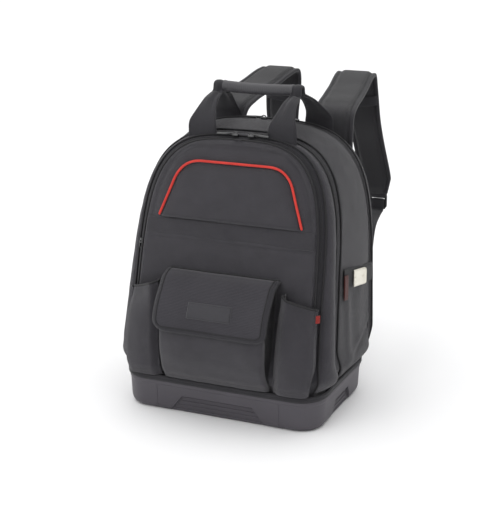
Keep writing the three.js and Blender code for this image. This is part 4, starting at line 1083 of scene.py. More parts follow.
def pocket_flap():
    """The flap: ribbed fabric, a bound edge with round lower corners, and short sides that fold back."""
    path = flap_path()
    run = lengths(path)
    left = run[-1] - run
    length = run[-1]
    into = np.clip(1 - left / FLAP_CORNER, 0, 1)
    half = FLAP_HALF - FLAP_CORNER * (1 - np.sqrt(1 - into**2 * 0.985))
    share = np.linspace(-1, 1, 61)
    _, across, normal = frames(path)
    points = path[:, None] + across[:, None] * (half[:, None] * share)[..., None]
    face = -np.sign(normal[60, 1]) * normal
    points = points + face[:, None] * (FLAP_THICK / 2 + 0.6)
    # The sides curl back over the pocket's edges.
    edge = half[:, None] * (1 - np.abs(share))
    curl = -3.6 * hump(edge, 0, 7.0) * smooth(run / 20)[:, None]
    sag = -0.9 * hump(share[None] * half[:, None], 0, 60) * smooth((run - 30) / 60)[:, None]
    points = points + face[:, None] * (curl + sag)[..., None]
    patch = Patch(points, lambda p: p - FLAP_INSIDE)
    p = patch.points
    patch.swell(ripple(p, (44, 30, 34), 61) * 0.7 + 0.8 * hump(np.minimum(edge, left[:, None]), 7, 3.5))
    patch.piece("pocket_flap", "flap", "body_fabric", "pocket_flap", thick=FLAP_THICK * 0.8)

    # A folded tape binds both sides and the lower edge.
    tape = 7.5
    corner = np.linspace(0, pi / 2, 14)[1:-1]

    def edge_line(inset):
        """Shares of the flap's rows and columns along its edge, at a distance in mm from it."""
        down = np.linspace(0.04, 1 - (inset + 12) / length, 90)
        side = np.full_like(down, inset / (2 * FLAP_HALF))
        turn_row = 1 - (inset + 12 * (1 - np.sin(corner))) / length
        turn_column = (inset + 7 * (1 - np.cos(corner))) / (2 * FLAP_HALF)
        flat = np.linspace(turn_column[-1], 1 - turn_column[-1], 90)[1:-1]
        foot = np.full_like(flat, 1 - inset / length)
        return (np.concatenate([down, turn_row, foot, turn_row[::-1], down[::-1]]),
                np.concatenate([side, turn_column, flat, 1 - turn_column[::-1], 1 - side[::-1]]))

    lines = []
    for inset, lift in ((-0.2, -2.6), (-0.2, -0.4), (0.8, 0.7), (3.5, 0.95), (tape - 0.9, 0.8), (tape, -0.1)):
        line, normals = patch.at(*edge_line(max(inset, 0.0)), lift)
        lines.append(line)
    binding = Patch(np.array(lines), lambda p: p - FLAP_INSIDE)
    binding.piece("flap_binding", "binding", "edge_webbing", thick=0.8)
    STITCHES.append(binding.at(np.full(600, 0.66), np.linspace(0.01, 0.99, 600), 0.25))
    # Two black cords are painted shade: one in the groove at the tape's inner edge, and one under the flap's
    # edge as its shadow.
    for name, inset, radius in (("flap_welt_shade_line", tape + 0.6, 0.9), ("flap_rim_shadow_line", 0.0, 1.3)):
        line, normals = patch.at(*edge_line(inset), 0.1 if inset else -2.0)
        line, normals = resampled(line, 300), resampled(normals, 300)
        cord_along(name, line, normals, radius, "black_piping", "edge_webbing", sides=8)
    # A black cord along the flap's top edge is painted shadow where the flap meets the panel below it.
    columns = np.linspace(0.01, 0.99, 90)
    line, normals = patch.at(np.full(90, 0.015), columns, 0.4)
    cord_along("flap_top_shadow_line", line, normals, 1.9, "black_piping", "edge_webbing", sides=10)

    # The label: a plain woven patch sewn on the flap's face.
    middle = 1 - (FLAP_LENGTH / 2 - 2) / length
    reach = LABEL_HEIGHT / 2 / length
    r = np.linspace(middle + reach, middle - reach, 13)
    c = 0.5 + np.linspace(-1, 1, 27) * LABEL_WIDTH / 2 / (2 * FLAP_HALF)
    grid = np.array([patch.at(np.full_like(c, x), c, 1.3)[0] for x in r])
    tag = Patch(grid, forwards)
    rim = np.minimum(np.minimum(tag.along, tag.along[-1:] - tag.along), LABEL_WIDTH / 2 - np.abs(tag.across))
    tag.swell(-0.7 * hump(rim, 0, 1.5))
    low, left = 0.07, 0.03
    for row in (low, 1 - low):
        tag.seam(np.full(60, row), np.linspace(left, 1 - left, 60), 0.1)
    for column in (left, 1 - left):
        tag.seam(np.linspace(low, 1 - low, 30), np.full(30, column), 0.1)
    tag.piece("label", "label", "label", "label", thick=1.4)


def side_pocket(side):
    """A side pocket: open at its sloping top, with a bound mouth."""
    levels = np.linspace(POCKET_FOOT - 1, SIDE_POCKET_TOP, 40)
    rows = []
    for z in levels:
        share = (z - POCKET_FOOT) / (SIDE_POCKET_TOP - POCKET_FOOT)
        inner = mix(SIDE_POCKET_FOOT_INNER, SIDE_POCKET_INNER, share)
        outer = float(PANEL_EDGE.half(z)) + SIDE_POCKET_OVERHANG + 5
        across = np.linspace(0, 1, 19)
        x = mix(inner, outer, across)
        height = z - SIDE_POCKET_SLOPE * (x - inner) * smooth((share - 0.55) / 0.45)
        foot = -TRAY_BACK - mix(SIDE_POCKET_FOOT_FRONT, SIDE_POCKET_FOOT_REAR, across)
        front = mix(foot, mix(SIDE_POCKET_FRONT, SIDE_POCKET_REAR, across), share)
        front = front - SIDE_POCKET_SWELL * (1 - (2 * share - 1) ** 2) - 3 * np.sin(pi * across)
        front = front + 5.0 * smooth((80 - z) / 16)
        plane = front_y(height, LAYER + CLOTH + 0.3)
        corner = 9.0 * (1 - smooth(across / 0.22)) + 4.0 * (1 - smooth((1 - across) / 0.14))
        y = np.minimum(front + corner, plane - 1.5)
        depth = np.linspace(0, 1, 7)[:-1]
        swell = np.sin(pi * depth)
        left = np.stack([inner + 2.5 * swell, mix(plane[0], y[0], depth), np.full(6, height[0])], 1)
        right = np.stack([outer - 2.0 * swell, mix(plane[-1], y[-1], depth), np.full(6, height[-1])], 1)
        rows.append(np.vstack([left, np.stack([x, y, height], 1), right[::-1]]))
    grid = np.array(rows) * [side, 1, 1]
    patch = Patch(grid, lambda p: p - [side * 125.0, -70.0, 150.0])
    p = patch.points
    loose = smooth((levels - 66) / 26)[:, None]
    crease = ripple(p, (24, 30, 50), 71 + side) * 1.7 + ripple(p, 14, 73 + side) * 0.5
    gather = ripple(p, (8, 30, 40), 75) * hump(p[..., 2], POCKET_FOOT + 2, 9) * 0.8
    patch.swell(loose * crease + gather)
    name = "side_pocket_" + ("right" if side > 0 else "left")
    run = np.linspace(0.2, 0.8, 120)
    patch.seam(np.full_like(run, 0.06), run).seam(np.full_like(run, 0.955), run)
    patch.piece(name, "body_fabric", "body_fabric", name, thick=2.2)
    run = np.linspace(0.12, 0.88, 120)
    line, _ = patch.at(np.ones_like(run), run, -1.1)
    up = np.broadcast_to([0.0, 0.0, 1.0], line.shape)
    line = resampled(line, 110)
    cord_along(name + "_binding", line, up[:110], 2.1, "black_piping", "black_piping")
    if side > 0:
        # A small folded tab in the pocket's outer seam.
        place, _ = patch.at(np.linspace(0.85, 0.95, 9), np.full(9, 0.83), 0.0)
        swept("pocket_tab", place, np.tile([0.8, 0.6, 0.0], (9, 1)), np.tile([0.6, -0.8, 0.0], (9, 1)),
              flat_profile(7.0, 2.4, 9) + np.array([1.8, 1.4]), "tab_red", "red_piping")


# Sides


def side_surface(y, z, proud, side):
    """Points on the body's side at distances y and heights z."""
    y, z = np.broadcast_arrays(np.asarray(y, float), np.asarray(z, float))
    ys = np.array([row.y(z) for row in ARCHES])
    halves = np.array([row.half(z) for row in ARCHES])
    x = np.array([np.interp(yy, ys[:, k], halves[:, k]) for k, yy in enumerate(y)])
    return np.stack([side * (x + proud), y, z], 1)


def side_strap_line(first, last, proud, side, count):
    y = np.linspace(first, last, count)
    z = SIDE_STRAP_Z - SIDE_STRAP_DROP * (y - SIDE_STRAP_FROM) / (SIDE_STRAP_TO - SIDE_STRAP_FROM)
    return side_surface(y, z, proud + SIDE_STRAP_CLEAR, side)


def side_straps():
    for side, word in ((1, "right"), (-1, "left")):
        up = np.array([0.0, 0.0, 1.0])
        out = np.array([float(side), 0.0, 0.0])
        line = side_strap_line(SIDE_STRAP_FROM, SIDE_STRAP_TO, WEBBING_THICK / 2, side, 60) + up * 3
        rows = len(line)
        name = "side_strap_" + word
        swept(name, line, np.tile(up, (rows, 1)), np.tile(out, (rows, 1)),
              flat_profile(SIDE_STRAP_WIDTH + 7, WEBBING_THICK, rows), "black_webbing", "edge_webbing", name)
        seam_line = side_strap_line(SIDE_STRAP_FROM + 2, SIDE_STRAP_FROM + 30, WEBBING_THICK + 0.2, side, 30)
        for edge in (-1, 1):
            STITCHES.append((seam_line + up * edge * (SIDE_STRAP_WIDTH / 2 - 2.5), np.tile(out, (30, 1))))
        # The fold's darker red is painted shade.
        first, last = SIDE_STRAP_FROM - 3, SIDE_STRAP_FROM + FOLD_LENGTH * 0.6
        line = side_strap_line(first, last, WEBBING_THICK + 1.3, side, 12) - up * 12
        profile = flat_profile(SIDE_STRAP_WIDTH + 17, 2.2, 12)
        profile[..., 1] *= np.linspace(1.15, 0.8, 12)[:, None]
        swept("side_strap_fold_" + word, line, np.tile(up, (12, 1)), np.tile(out, (12, 1)), profile,
              "dark_red", "red_piping", "side_strap_fold_" + word)
        side_hook(side, word)


def side_hook(side, word):
    """A bent steel plate on the side strap, with rolled ends and two rivets."""
    line = side_strap_line(HOOK_FROM, HOOK_FROM + HOOK_LENGTH, WEBBING_THICK + HOOK_THICK / 2 + 0.4, side, 44)
    rows = len(line)
    end = np.minimum(np.arange(rows), np.arange(rows)[::-1]) / (rows - 1)
    lip = 2.2 * hump(end, 0, 0.035)
    line = line + np.array([side, 0, 0]) * lip[:, None]
    up, out = np.tile([0.0, 0.0, 1.0], (rows, 1)), np.tile([float(side), 0.0, 0.0], (rows, 1))
    width = HOOK_HEIGHT - 3.5 * hump(end, 0, 0.03)
    profile = flat_profile(width, HOOK_THICK, rows, points=13)
    bead = 0.8 * (hump(profile[..., 0], 10.5, 1.6) + hump(profile[..., 0], -10.5, 1.6))
    profile[..., 1] += bead * smooth((end - 0.08) / 0.06)[:, None]
    swept("side_hook_" + word, line, up, out, profile, "hook_metal", "hook_metal", "side_hook_" + word)
    for k, share in enumerate((0.16, 0.84)):
        centre = line[int(share * (rows - 1))]
        dome(f"hook_rivet_{word}_{k + 1}", centre + [side * 0.8, 0, 0], [side, 0, 0], 3.0, 1.6)


def dome(name, centre, axis, radius, height):
    """A low rivet head."""
    rise = np.linspace(0, 1, 7)
    path = np.array(centre) + np.outer(rise * height, axis)
    axis = unit(np.array(axis, float))
    across = unit(np.cross(axis, [0.0, 1.0, 0.0]))
    other = np.cross(axis, across)
    rows = len(path)
    radii = radius * np.sqrt(np.clip(1 - rise**2 * 0.985, 0, 1))
    swept(name, path, np.tile(across, (rows, 1)), np.tile(other, (rows, 1)), round_profile(radii, rows, 20),
          "hook_metal", "hook_metal")


# Handle


def handle():
    grip_y, grip_z = HANDLE_FRONT + HANDLE_REACH, BODY_HEIGHT + HANDLE_RISE
    top_x = GRIP_LENGTH / 2 + LEG_TOP_WIDTH / 2 - 1.5
    wrap = GRIP_CORE + WEBBING_THICK / 2 + SEAM + 0.6
    for side, word in ((1, "right"), (-1, "left")):
        for end_word, foot_x, foot_y, turn, steep in (("front", HANDLE_SPREAD, HANDLE_FRONT, 1, 12),
                                                      ("rear", HANDLE_SPREAD + 13, HANDLE_REAR, -1, 5)):
            end = grip_y - turn * wrap
            over = [[top_x, grip_y - turn * wrap * cos(radians(a)), grip_z - 3 + wrap * sin(radians(a))]
                    for a in (35, 62, 88)]
            path = smooth_path([
                [foot_x, foot_y, BODY_HEIGHT - 34], [foot_x, foot_y, BODY_HEIGHT - 8],
                [foot_x, foot_y + turn * 2, BODY_HEIGHT + steep],
                [mix(foot_x, top_x, 0.5), mix(foot_y, end, 0.5), mix(BODY_HEIGHT + steep, grip_z, 0.56)],
                [top_x, end - turn * 0.6, grip_z - 8], *over,
            ], 70)
            handle_leg(path, side, turn, f"handle_leg_{end_word}_{word}")
    grip(grip_y, grip_z)


def handle_leg(path, side, turn, name):
    """Webbing that stands flat at its foot, is folded narrow at the grip and goes over the grip's core."""
    _, across, normal = frames(path)
    away = unit(np.where(normal[:, 1:2] * turn > 0, -1.0, 1.0) * normal)
    core = np.array([path[-1, 0], HANDLE_FRONT + HANDLE_REACH, BODY_HEIGHT + HANDLE_RISE - 3])
    away[-14:] = unit(path[-14:] - core)
    rows = len(path)
    share = np.linspace(0, 1, rows)
    width = np.interp(share, [0, 0.3, 0.4, 0.52, 0.63, 0.74, 0.85, 1],
                      [WEBBING, WEBBING, 39, 31, 26, 23, 20, LEG_TOP_WIDTH + 3])
    width = np.convolve(np.pad(width, 4, mode="edge"), np.ones(9) / 9, mode="valid")
    folded = smooth((share - 0.34) / 0.4)
    profile = flat_profile(width, WEBBING_THICK + 2.0 * folded, rows, points=21)
    place = profile[..., 0] / (width[:, None] / 2)
    fold = 2.6 * hump(place, 0.12, 0.42) - 1.3 * hump(place, -0.5, 0.2)
    profile[..., 1] += fold * (folded * (1 - 0.75 * smooth((share - 0.86) / 0.1)))[:, None]
    flip = np.array([side, 1, 1])
    centre = path + away * (ripple(path, 24, 81 + side) * 0.6 * smooth((share - 0.3) / 0.2))[:, None]
    swept(name, centre * flip, across * flip, away * flip, profile, "edge_webbing", "edge_webbing", name)
    part = slice(8, 34)
    for edge in (-1, 1):
        line = path + across * edge * (width[:, None] / 2 - 3) + away * (WEBBING_THICK / 2 + 0.2)
        STITCHES.append(((line * flip)[part], (away * flip)[part]))


def grip(y, z):
    """The grip: a rubber tube with fine ribs round it, on a core that ends in rolled webbing."""
    x = np.linspace(-GRIP_LENGTH / 2, GRIP_LENGTH / 2, 421)
    path = np.stack([x, np.full_like(x, y), np.full_like(x, z - 3) - 2.0 * (1 - (x / x[-1]) ** 2) + 1.0], 1)
    from_end = GRIP_LENGTH / 2 - np.abs(x)
    ribs = 0.26 * np.sin(2 * pi * x / 3.4) * smooth((from_end - 5) / 2)
    collar = 0.5 * smooth((from_end - 0.2) / 1.2) * (1 - smooth((from_end - 4.2) / 0.8))
    radius = GRIP_RADIUS - 0.4 + ribs + collar - 1.8 * hump(from_end, 0, 0.7)
    rows = len(x)
    across, up = np.tile([0.0, 1.0, 0.0], (rows, 1)), np.tile([0.0, 0.0, 1.0], (rows, 1))
    swept("handle_grip", path, across, up, round_profile(radius, rows, 32), "grip_rubber", "grip_rubber",
          "handle_grip")
    half = GRIP_LENGTH / 2 + LEG_TOP_WIDTH - 4
    x = np.linspace(-half, half, 80)
    path = np.stack([x, np.full_like(x, y), np.full_like(x, z - 3)], 1)
    cap = np.sqrt(np.clip(1 - np.clip(np.abs(x) - half + 4, 0, 4) ** 2 / 16.5, 0.02, 1))
    swept("grip_core", path, across[:80], up[:80], round_profile((GRIP_CORE + 0.3) * cap, 80, 20),
          "edge_webbing", "edge_webbing", "grip_core")


# Back


def back_y(z):
    return BACK_EDGE.y(z) + BACK_WALL + 2 * SEAM


def back_wall():
    patch = Patch(arch_plate(BACK_EDGE, 70, lambda x, z: BACK_EDGE.y(z) + BACK_WALL), backwards)
    p = patch.points
    loose = smooth((p[..., 2] - BAND_TOP) / 30)
    patch.swell(loose * (ripple(p, (50, 20, 40), 91) * 0.9 + ripple(p, 14, 92) * 0.25))
    patch.piece("back_wall", "body_fabric", "back_mesh", "back_wall", thick=BACK_WALL, merge=True)


def inflated(node, name, voxel, cap):
    """A pad swollen by cloth simulation from its solid, no point moving further than cap, in mm."""
    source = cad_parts[node]
    piece = new_object(name, source.data.copy())
    with edited(piece.data) as edit:
        bmesh.ops.remove_doubles(edit, verts=edit.verts, dist=0.0001)
    bpy.context.view_layer.objects.active = piece
    remesh = piece.modifiers.new("Remesh", "REMESH")
    remesh.mode, remesh.voxel_size = "VOXEL", voxel * MM
    piece.data = evaluated(piece)
    piece.modifiers.clear()
    rest = np.empty(len(piece.data.vertices) * 3)
    piece.data.vertices.foreach_get("co", rest)
    rest = rest.reshape(-1, 3)
    cloth = piece.modifiers.new("Cloth", "CLOTH")
    settings = cloth.settings
    settings.use_pressure = True
    settings.uniform_pressure_force = PAD_PRESSURE
    settings.effector_weights.gravity = 0.0
    settings.quality = 5
    cloth.collision_settings.use_collision = False
    scene = bpy.context.scene
    for step in range(1, 21):
        scene.frame_set(step)
    shape = piece.evaluated_get(bpy.context.evaluated_depsgraph_get())
    moved = np.empty(len(rest) * 3)
    shape.to_mesh().vertices.foreach_get("co", moved)
    shape.to_mesh_clear()
    piece.modifiers.clear()
    scene.frame_set(1)
    shift = moved.reshape(-1, 3) - rest
    far = np.linalg.norm(shift, axis=1, keepdims=True)
    shift *= np.minimum(1, cap * MM / np.maximum(far, 1e-9))
    piece.data.vertices.foreach_set("co", (rest + shift).ravel())
    return piece, rest


def back_pad():
    """The padded back: two columns of cushions with a channel between them and cross channels."""
    piece, rest = inflated("back_pad", "back_pad", 4.0, 3.5)
    count = len(piece.data.vertices)
    place = np.empty(count * 3)
    piece.data.vertices.foreach_get("co", place)
    p = place.reshape(-1, 3) / MM
    x, z = rest[:, 0] / MM, rest[:, 2] / MM
    groove = 5.5 * hump(x, 0, 12)
    for level in (168, 236, 304):
        groove = np.maximum(groove, 4.2 * hump(z, level + 10 * (np.abs(x) / BACK_PAD_HALF) ** 2, 5.5))
    outer = smooth((p[:, 1] - back_y(z) - 3) / 4)
    p[:, 1] -= groove * outer
    piece.data.vertices.foreach_set("co", (p * MM).ravel())
    settle(piece, "back_mesh", "back_mesh", "back_pad", levels=1)


def yoke():
    foot, top = BACK_PAD_TOP + 1, BACK_PAD_TOP + YOKE_GAP + 2
    z = np.linspace(foot, top, 10)
    share = np.linspace(-1, 1, 60)
    half = BACK_PAD_HALF * mix(0.97, 1.0, (z - foot) / (top - foot))
    x = half[:, None] * share
    zs = np.repeat(z[:, None], 60, axis=1)
    t = (zs - foot) / (top - foot)
    y = back_y(zs) + 1.2 + (YOKE_THICK - 1.0) * (4 * t * (1 - t)) ** 0.4
    patch = Patch(np.stack([x, y, zs], -1), backwards)
    patch.swell(0.3 * ripple(patch.points, 14, 95))
    run = np.linspace(0.02, 0.98, 300)
    patch.seam(np.full_like(run, 0.22), run).seam(np.full_like(run, 0.78), run)
    patch.piece("yoke", "edge_webbing", "edge_webbing", "yoke", thick=2.5)


def strap_points():
    root_z = BACK_PAD_TOP + YOKE_GAP
    flat = float(back_y(root_z + 16)) + STRAP_THICK / 2 + 1
    return [
        [STRAP_ROOT, float(back_y(root_z)) + STRAP_THICK / 2 - SEAM, root_z],
        [STRAP_ROOT, flat + 1, root_z + 30],
        [STRAP_ROOT - 3, flat + 14, root_z + 62],
        [STRAP_ROOT - 7, flat + 45, root_z + 76],
        [STRAP_ROOT - 15, 250, 493],
        [STRAP_CREST + 3, 315, 509],
        [STRAP_CREST + 1, STRAP_REACH, 507],
        [STRAP_CREST + 2, STRAP_REACH + 11, 480],
        [STRAP_CREST + 8, STRAP_REACH + 22, 424],
        [STRAP_CREST + 14, STRAP_REACH + 44, 364],
        [STRAP_CREST + 21, STRAP_REACH + 58, 312],
        [STRAP_CREST + 24, STRAP_REACH + 66, 274],
    ]


def strap_width(share):
    width = mix(STRAP_WIDTH, STRAP_END_WIDTH, smooth((share - 0.5) / 0.3))
    return np.where(share < 0.94, width, mix(width, 38, np.clip((share - 0.94) / 0.06, 0, 1)))


def shoulder_straps():
    path = smooth_path(strap_points(), 190)
    _, across, normal = frames(path)
    rows = len(path)
    share = np.linspace(0, 1, rows)
    width = strap_width(share)
    thick = STRAP_THICK * np.where(share < 0.97, 1, mix(1, 0.55, (share - 0.97) / 0.03))
    across_share = np.linspace(-1, 1, 27)
    # Foam fills the middle; the edges are sewn thin and bound.
    full = 0.34 + 0.66 * smooth((0.84 - np.abs(across_share)) / 0.2) ** 0.6
    upper = np.stack([across_share, full], 1)
    lower = np.stack([across_share[::-1], -full[::-1]], 1)
    loop = np.concatenate([upper, lower])
    profile = loop[None] * np.stack([(width - 3) / 2, thick / 2], 1)[:, None]
    wave = ripple(path, 30, 97) * 0.9
    for side, word in ((1, "right"), (-1, "left")):
        flip = np.array([side, 1, 1])
        centre = (path + normal * wave[:, None]) * flip
        name = "shoulder_strap_" + word
        piece = swept(name, centre, across * flip, normal * flip, profile, "strap_fabric", "strap_fabric",
                      name, levels=1)
        for edge, edge_word in ((1, "outer"), (-1, "inner")):
            line = centre + across * flip * (edge * (width[:, None] / 2 - 1.8))
            strip = flat_profile(6.5, 6.4, rows, points=9)
            swept(f"strap_edge_{edge_word}_{word}", line, across * flip, normal * flip, strip,
                  "edge_webbing", "edge_webbing")
            for face in (1, -1):
                inset = centre + across * flip * (edge * (width[:, None] / 2 - 6.8))
                lift = normal * flip * (face * (thick[:, None] * 0.24))
                STITCHES.append((inset + lift, normal * flip * face))
        strap_hardware(path, across, normal, width, thick, side, word)


def strap_hardware(path, across, normal, width, thick, side, word):
    """The cross band, the ladder buckle at the strap's end and the webbing below it."""
    flip = np.array([side, 1, 1])
    rows = len(path)
    first, last = int(0.6 * (rows - 1)), int(0.64 * (rows - 1)) + 1
    part = slice(first, last + 1)
    count = last - first + 1
    rim = width[part] + 3.4
    profile = flat_profile(rim, thick[part] + 3.2, count, points=15)
    swept("strap_band_" + word, path[part] * flip, across[part] * flip, normal[part] * flip, profile,
          "edge_webbing", "edge_webbing", "strap_band_" + word, levels=1)

    end = path[-1]
    buckle_z = end[2] - SEAM - 1 - BUCKLE_LENGTH / 2
    centre = np.array([end[0] + 1, end[1] + 5, buckle_z])
    buckle("strap_buckle_" + word, centre, side)

    anchor_y = float(back_y(ANCHOR_Z)) + 4

    def threaded(spots):
        """Points of the webbing at distances in y and z from the buckle."""
        return [[end[0] + 1, end[1] + y, buckle_z + z] for y, z in spots]

    loop = smooth_path(threaded([(-2, 27), (0.4, 15), (2.2, 9), (5, 6.3), (7.8, 9), (7.4, 15), (5, 27)]), 50)
    _, a, n = frames(loop)
    swept("buckle_loop_" + word, loop * flip, a * flip, n * flip, flat_profile(LOWER_WEBBING + 7, 2.2, 50),
          "edge_webbing", "edge_webbing")
    lower = smooth_path([
        *threaded([(9.8, -17), (9.4, -9), (8.6, -1), (7.6, 2.6), (5, 3.9), (2, 2), (0.8, -8)]),
        [end[0] + 1, end[1] - 1, buckle_z - BUCKLE_LENGTH / 2 - 1.5],
        [end[0] + 5, end[1] - 30, buckle_z - BUCKLE_LENGTH / 2 - 4],
        [end[0] + 21, 290, 233],
        [mix(end[0] + 21, ANCHOR_X, 0.5), 215, 182],
        [ANCHOR_X - 3, anchor_y + 22, ANCHOR_Z + 14],
        [ANCHOR_X, anchor_y, ANCHOR_Z - 6],
    ], 170)
    _, a, n = frames(lower)
    count = len(lower)
    twist = 0.5 * ripple(lower, 60, 99)
    swept("lower_webbing_" + word, (lower + n * twist[:, None]) * flip, a * flip, n * flip,
          flat_profile(LOWER_WEBBING, LOWER_WEBBING_THICK, count), "edge_webbing", "edge_webbing",
          "lower_webbing_" + word)
    for edge in (-1, 1):
        line = (lower + a * edge * (LOWER_WEBBING / 2 - 2.5) + n * 1.05)[2:] * flip
        STITCHES.append((line[-14:], (n * flip)[2:][-14:]))
    # A patch of the same webbing holds the lower end at the corner of the back.
    z = np.linspace(ANCHOR_Z - 22, ANCHOR_Z + 8, 12)
    patch_line = np.stack([np.full_like(z, ANCHOR_X - 1), back_y(z) + 1.6, z], 1)
    _, a, n = frames(patch_line)
    swept("lower_anchor_" + word, patch_line * flip, a * flip, n * flip, flat_profile(31.0, 3.2, 12),
          "edge_webbing", "edge_webbing")


def rounded_plate(width, height, corner):
    """The outline of a plate with round corners, as pairs of X and Z."""
    steps = 5
    out = []
    for sx, sz, start in ((1, 1, 0), (-1, 1, 90), (-1, -1, 180), (1, -1, 270)):
        for k in range(steps + 1):
            a = radians(start + 90 * k / steps)
            out.append((sx * (width / 2 - corner) + corner * cos(a),
                        sz * (height / 2 - corner) + corner * sin(a)))
    return np.array(out)


def plate_with_slots(name, outline, slots, thick, place, finish, slot, *nodes):
    """A plate in X and Z with holes through it, its edges rounded."""
    bevel = 0.7
    curve = bpy.data.curves.new(name, "CURVE")
    curve.dimensions, curve.fill_mode = "2D", "BOTH"
    for ring in [outline, *slots]:
        spline = curve.splines.new("POLY")
        spline.points.add(len(ring) - 1)
        for point, (x, z) in zip(spline.points, ring):
            point.co = (x * MM, z * MM, 0, 1)
        spline.use_cyclic_u = True
    curve.extrude = (thick / 2 - bevel) * MM
    curve.bevel_depth = bevel * MM
    curve.bevel_resolution = 2
    curve.offset = -bevel * MM
    holder = new_object(name + " outline", curve)
    mesh = evaluated(holder)
    bpy.data.objects.remove(holder)
    mesh.transform(Matrix.Rotation(pi / 2, 4, "X"))
    mesh.transform(Matrix.Translation(Vector(place) * MM))
    with edited(mesh) as edit:
        bmesh.ops.remove_doubles(edit, verts=edit.verts, dist=0.00002)
        bmesh.ops.recalc_face_normals(edit, faces=edit.faces)
    piece = settle(new_object(name, mesh), finish, slot, *nodes)
    mesh.set_sharp_from_angle(angle=radians(40))
    return piece


def buckle(name, centre, side):
    """A ladder lock: a frame with two bars that the webbing is threaded through."""
    outline = rounded_plate(BUCKLE_WIDTH + 2, BUCKLE_LENGTH, 5)
    slots = [rounded_plate(LOWER_WEBBING + 1, 5, 1.5) + [0, z] for z in (-6.5, 5.5)]
    x, y, z = centre
    plate_with_slots(name, outline, slots, BUCKLE_THICK - 1, (side * x, y, z), "buckle_plastic",
                     "buckle_plastic", name)
    lip = np.array([[side * x + d, y + 3.4, z - BUCKLE_LENGTH / 2 + 1] for d in np.linspace(-13, 13, 14)])
    cord_along(name + "_lip", lip, np.tile([0.0, 1.0, 0.0], (14, 1)), 2.4, "buckle_plastic", "buckle_plastic")


# Zip sliders


def pull(name, points):
    """A slider's pull: a thin loop that ends in a thick cord."""
    path = smooth_path(points, 40)
    radius = np.interp(np.linspace(0, 1, 40), [0, 0.2, 0.3, 0.42, 1], [1.0, 1.0, 1.6, 2.3, 2.1])
    across = np.tile([0.0, 1.0, 0.0], (40, 1))
    up = unit(np.cross(unit(np.gradient(path, axis=0)), across))
    swept(name, path, across, up, round_profile(radius, 40), "slider_metal", "slider_metal")


def zip_slider(name, place, along, lean):
    """A slider body, its bridge and a corded pull beside it."""
    x, y, z = place
    path = np.array([[x + d, y, z + 2.2] for d in np.linspace(-5.5, 5.5, 13)])
    share = np.linspace(-1, 1, 13)
    width = 7.0 * (1 - 0.28 * np.clip(share * along, 0, 1) ** 2)
    up, across = np.tile([0.0, 0.0, 1.0], (13, 1)), np.tile([0.0, 1.0, 0.0], (13, 1))
    swept(name, path, across, up, flat_profile(width, SLIDER_THICK, 13, points=9), "slider_metal",
          "slider_metal", name, levels=1)
    bridge = smooth_path([[x - 4 * along, y, z + 4], [x - 2 * along, y, z + 6.4], [x + 2 * along, y, z + 6.4],
                          [x + 4 * along, y, z + 4]], 24)
    cord_along(name + "_bridge", bridge, np.tile([0.0, 1.0, 0.0], (24, 1)), 0.9, "slider_metal",
               "slider_metal", sides=10)
    pull(name + "_pull", [[x + 2 * along, y, z + 5.2], [x + 8 * along, y - 0.4, z + 4.6],
                          [x + 15 * along, y - lean, z + 3.6], [x + 31 * along, y - 2 * lean, z + 3.1]])


def flank_slider(band):
    """The front zip's other slider, down its left side, with its pull hanging."""
    line, normals = band.at(np.full(13, 0.5), np.linspace(0.243, 0.235, 13), 2.2)
    across = unit(np.cross(normals, np.gradient(line, axis=0)))
    swept("zip_slider_flank", line, across, normals, flat_profile(8.0, SLIDER_THICK, 13, points=9),
          "slider_metal", "slider_metal", levels=1)
    end = line[-1]
    pull("zip_slider_flank_pull", [line[6] + normals[6] * 3.4, end + [-4.5, 2, -3], end + [-4.2, 5, -12],
                                   end + [-3.6, 7, -34]])


def zip_sliders():
    def zip_top(front, back):
        return (front.y_top + back.y_top) / 2, max(front.top, back.top) + SEAM

    front_y0, front_z = zip_top(PANEL_EDGE, FRONT_ZIP_BACK)
    rear_y, rear_z = zip_top(REAR_ZIP_FRONT, REAR_ZIP_BACK)
    zip_slider("zip_slider_front_left", (-9, front_y0 + 1, front_z), -1, 1.5)
    zip_slider("zip_slider_front_right", (19, front_y0 + 1, front_z), 1, 1.0)
    zip_slider("zip_slider_rear_left", (-5, rear_y - 0.5, rear_z - 2 * SEAM), -1, 1.0)
    zip_slider("zip_slider_rear_right", (28, rear_y - 0.5, rear_z - 2 * SEAM), 1, 1.0)


# Base


def ring_around(shrink, z, steps):
    """Points around the base's outline, moved inwards by shrink."""
    half, back, corner = TRAY_HALF - shrink, TRAY_BACK - shrink, TRAY_CORNER - shrink
    out = []
    for sx, sy, start in ((1, -1, -90), (1, 1, 0), (-1, 1, 90), (-1, -1, 180)):
        for k in range(steps + 1):
            a = radians(start + 90 * k / steps)
            out.append((sx * (half - corner) + corner * cos(a), sy * (back - corner) + corner * sin(a), z))
    return np.array(out)


def tray_ring(inset, z):
    """Points around the tray's drafted wall."""
    return ring_around(inset + TRAY_DRAFT * (1 - z / TRAY_HEIGHT), z, 16)


def closed_loft(name, rings):
    """A mesh through closed rings, with flat ends."""
    rings = np.array(rings)
    count, columns = rings.shape[:2]
    mesh = bpy.data.meshes.new(name)
    faces = []
    for r, c in product(range(count - 1), range(columns)):
        low, high, following = r * columns, (r + 1) * columns, (c + 1) % columns
        faces.append([low + c, low + following, high + following, high + c])
    faces += [list(range(columns))[::-1], list(range((count - 1) * columns, count * columns))]
    mesh.from_pydata((rings.reshape(-1, 3) * MM).tolist(), [], faces)
    with edited(mesh) as edit:
        bmesh.ops.recalc_face_normals(edit, faces=edit.faces)
    return new_object(name, mesh)


def recess_block(turn, half_foot, half_top, height, depth, half, foot=-2.0):
    """A trapezoid block standing at one side of the base, reaching depth into it."""
    outline = [(-half_foot - 1.6, foot), (half_foot + 1.6, foot), (half_top, height), (-half_top, height)]
    rings = [np.array([(x, y, z) for x, z in outline]) for y in (-half - 12, -half + depth)]
    block = closed_loft("recess", rings)
    block.data.transform(Matrix.Rotation(radians(turn), 4, "Z"))
    return block


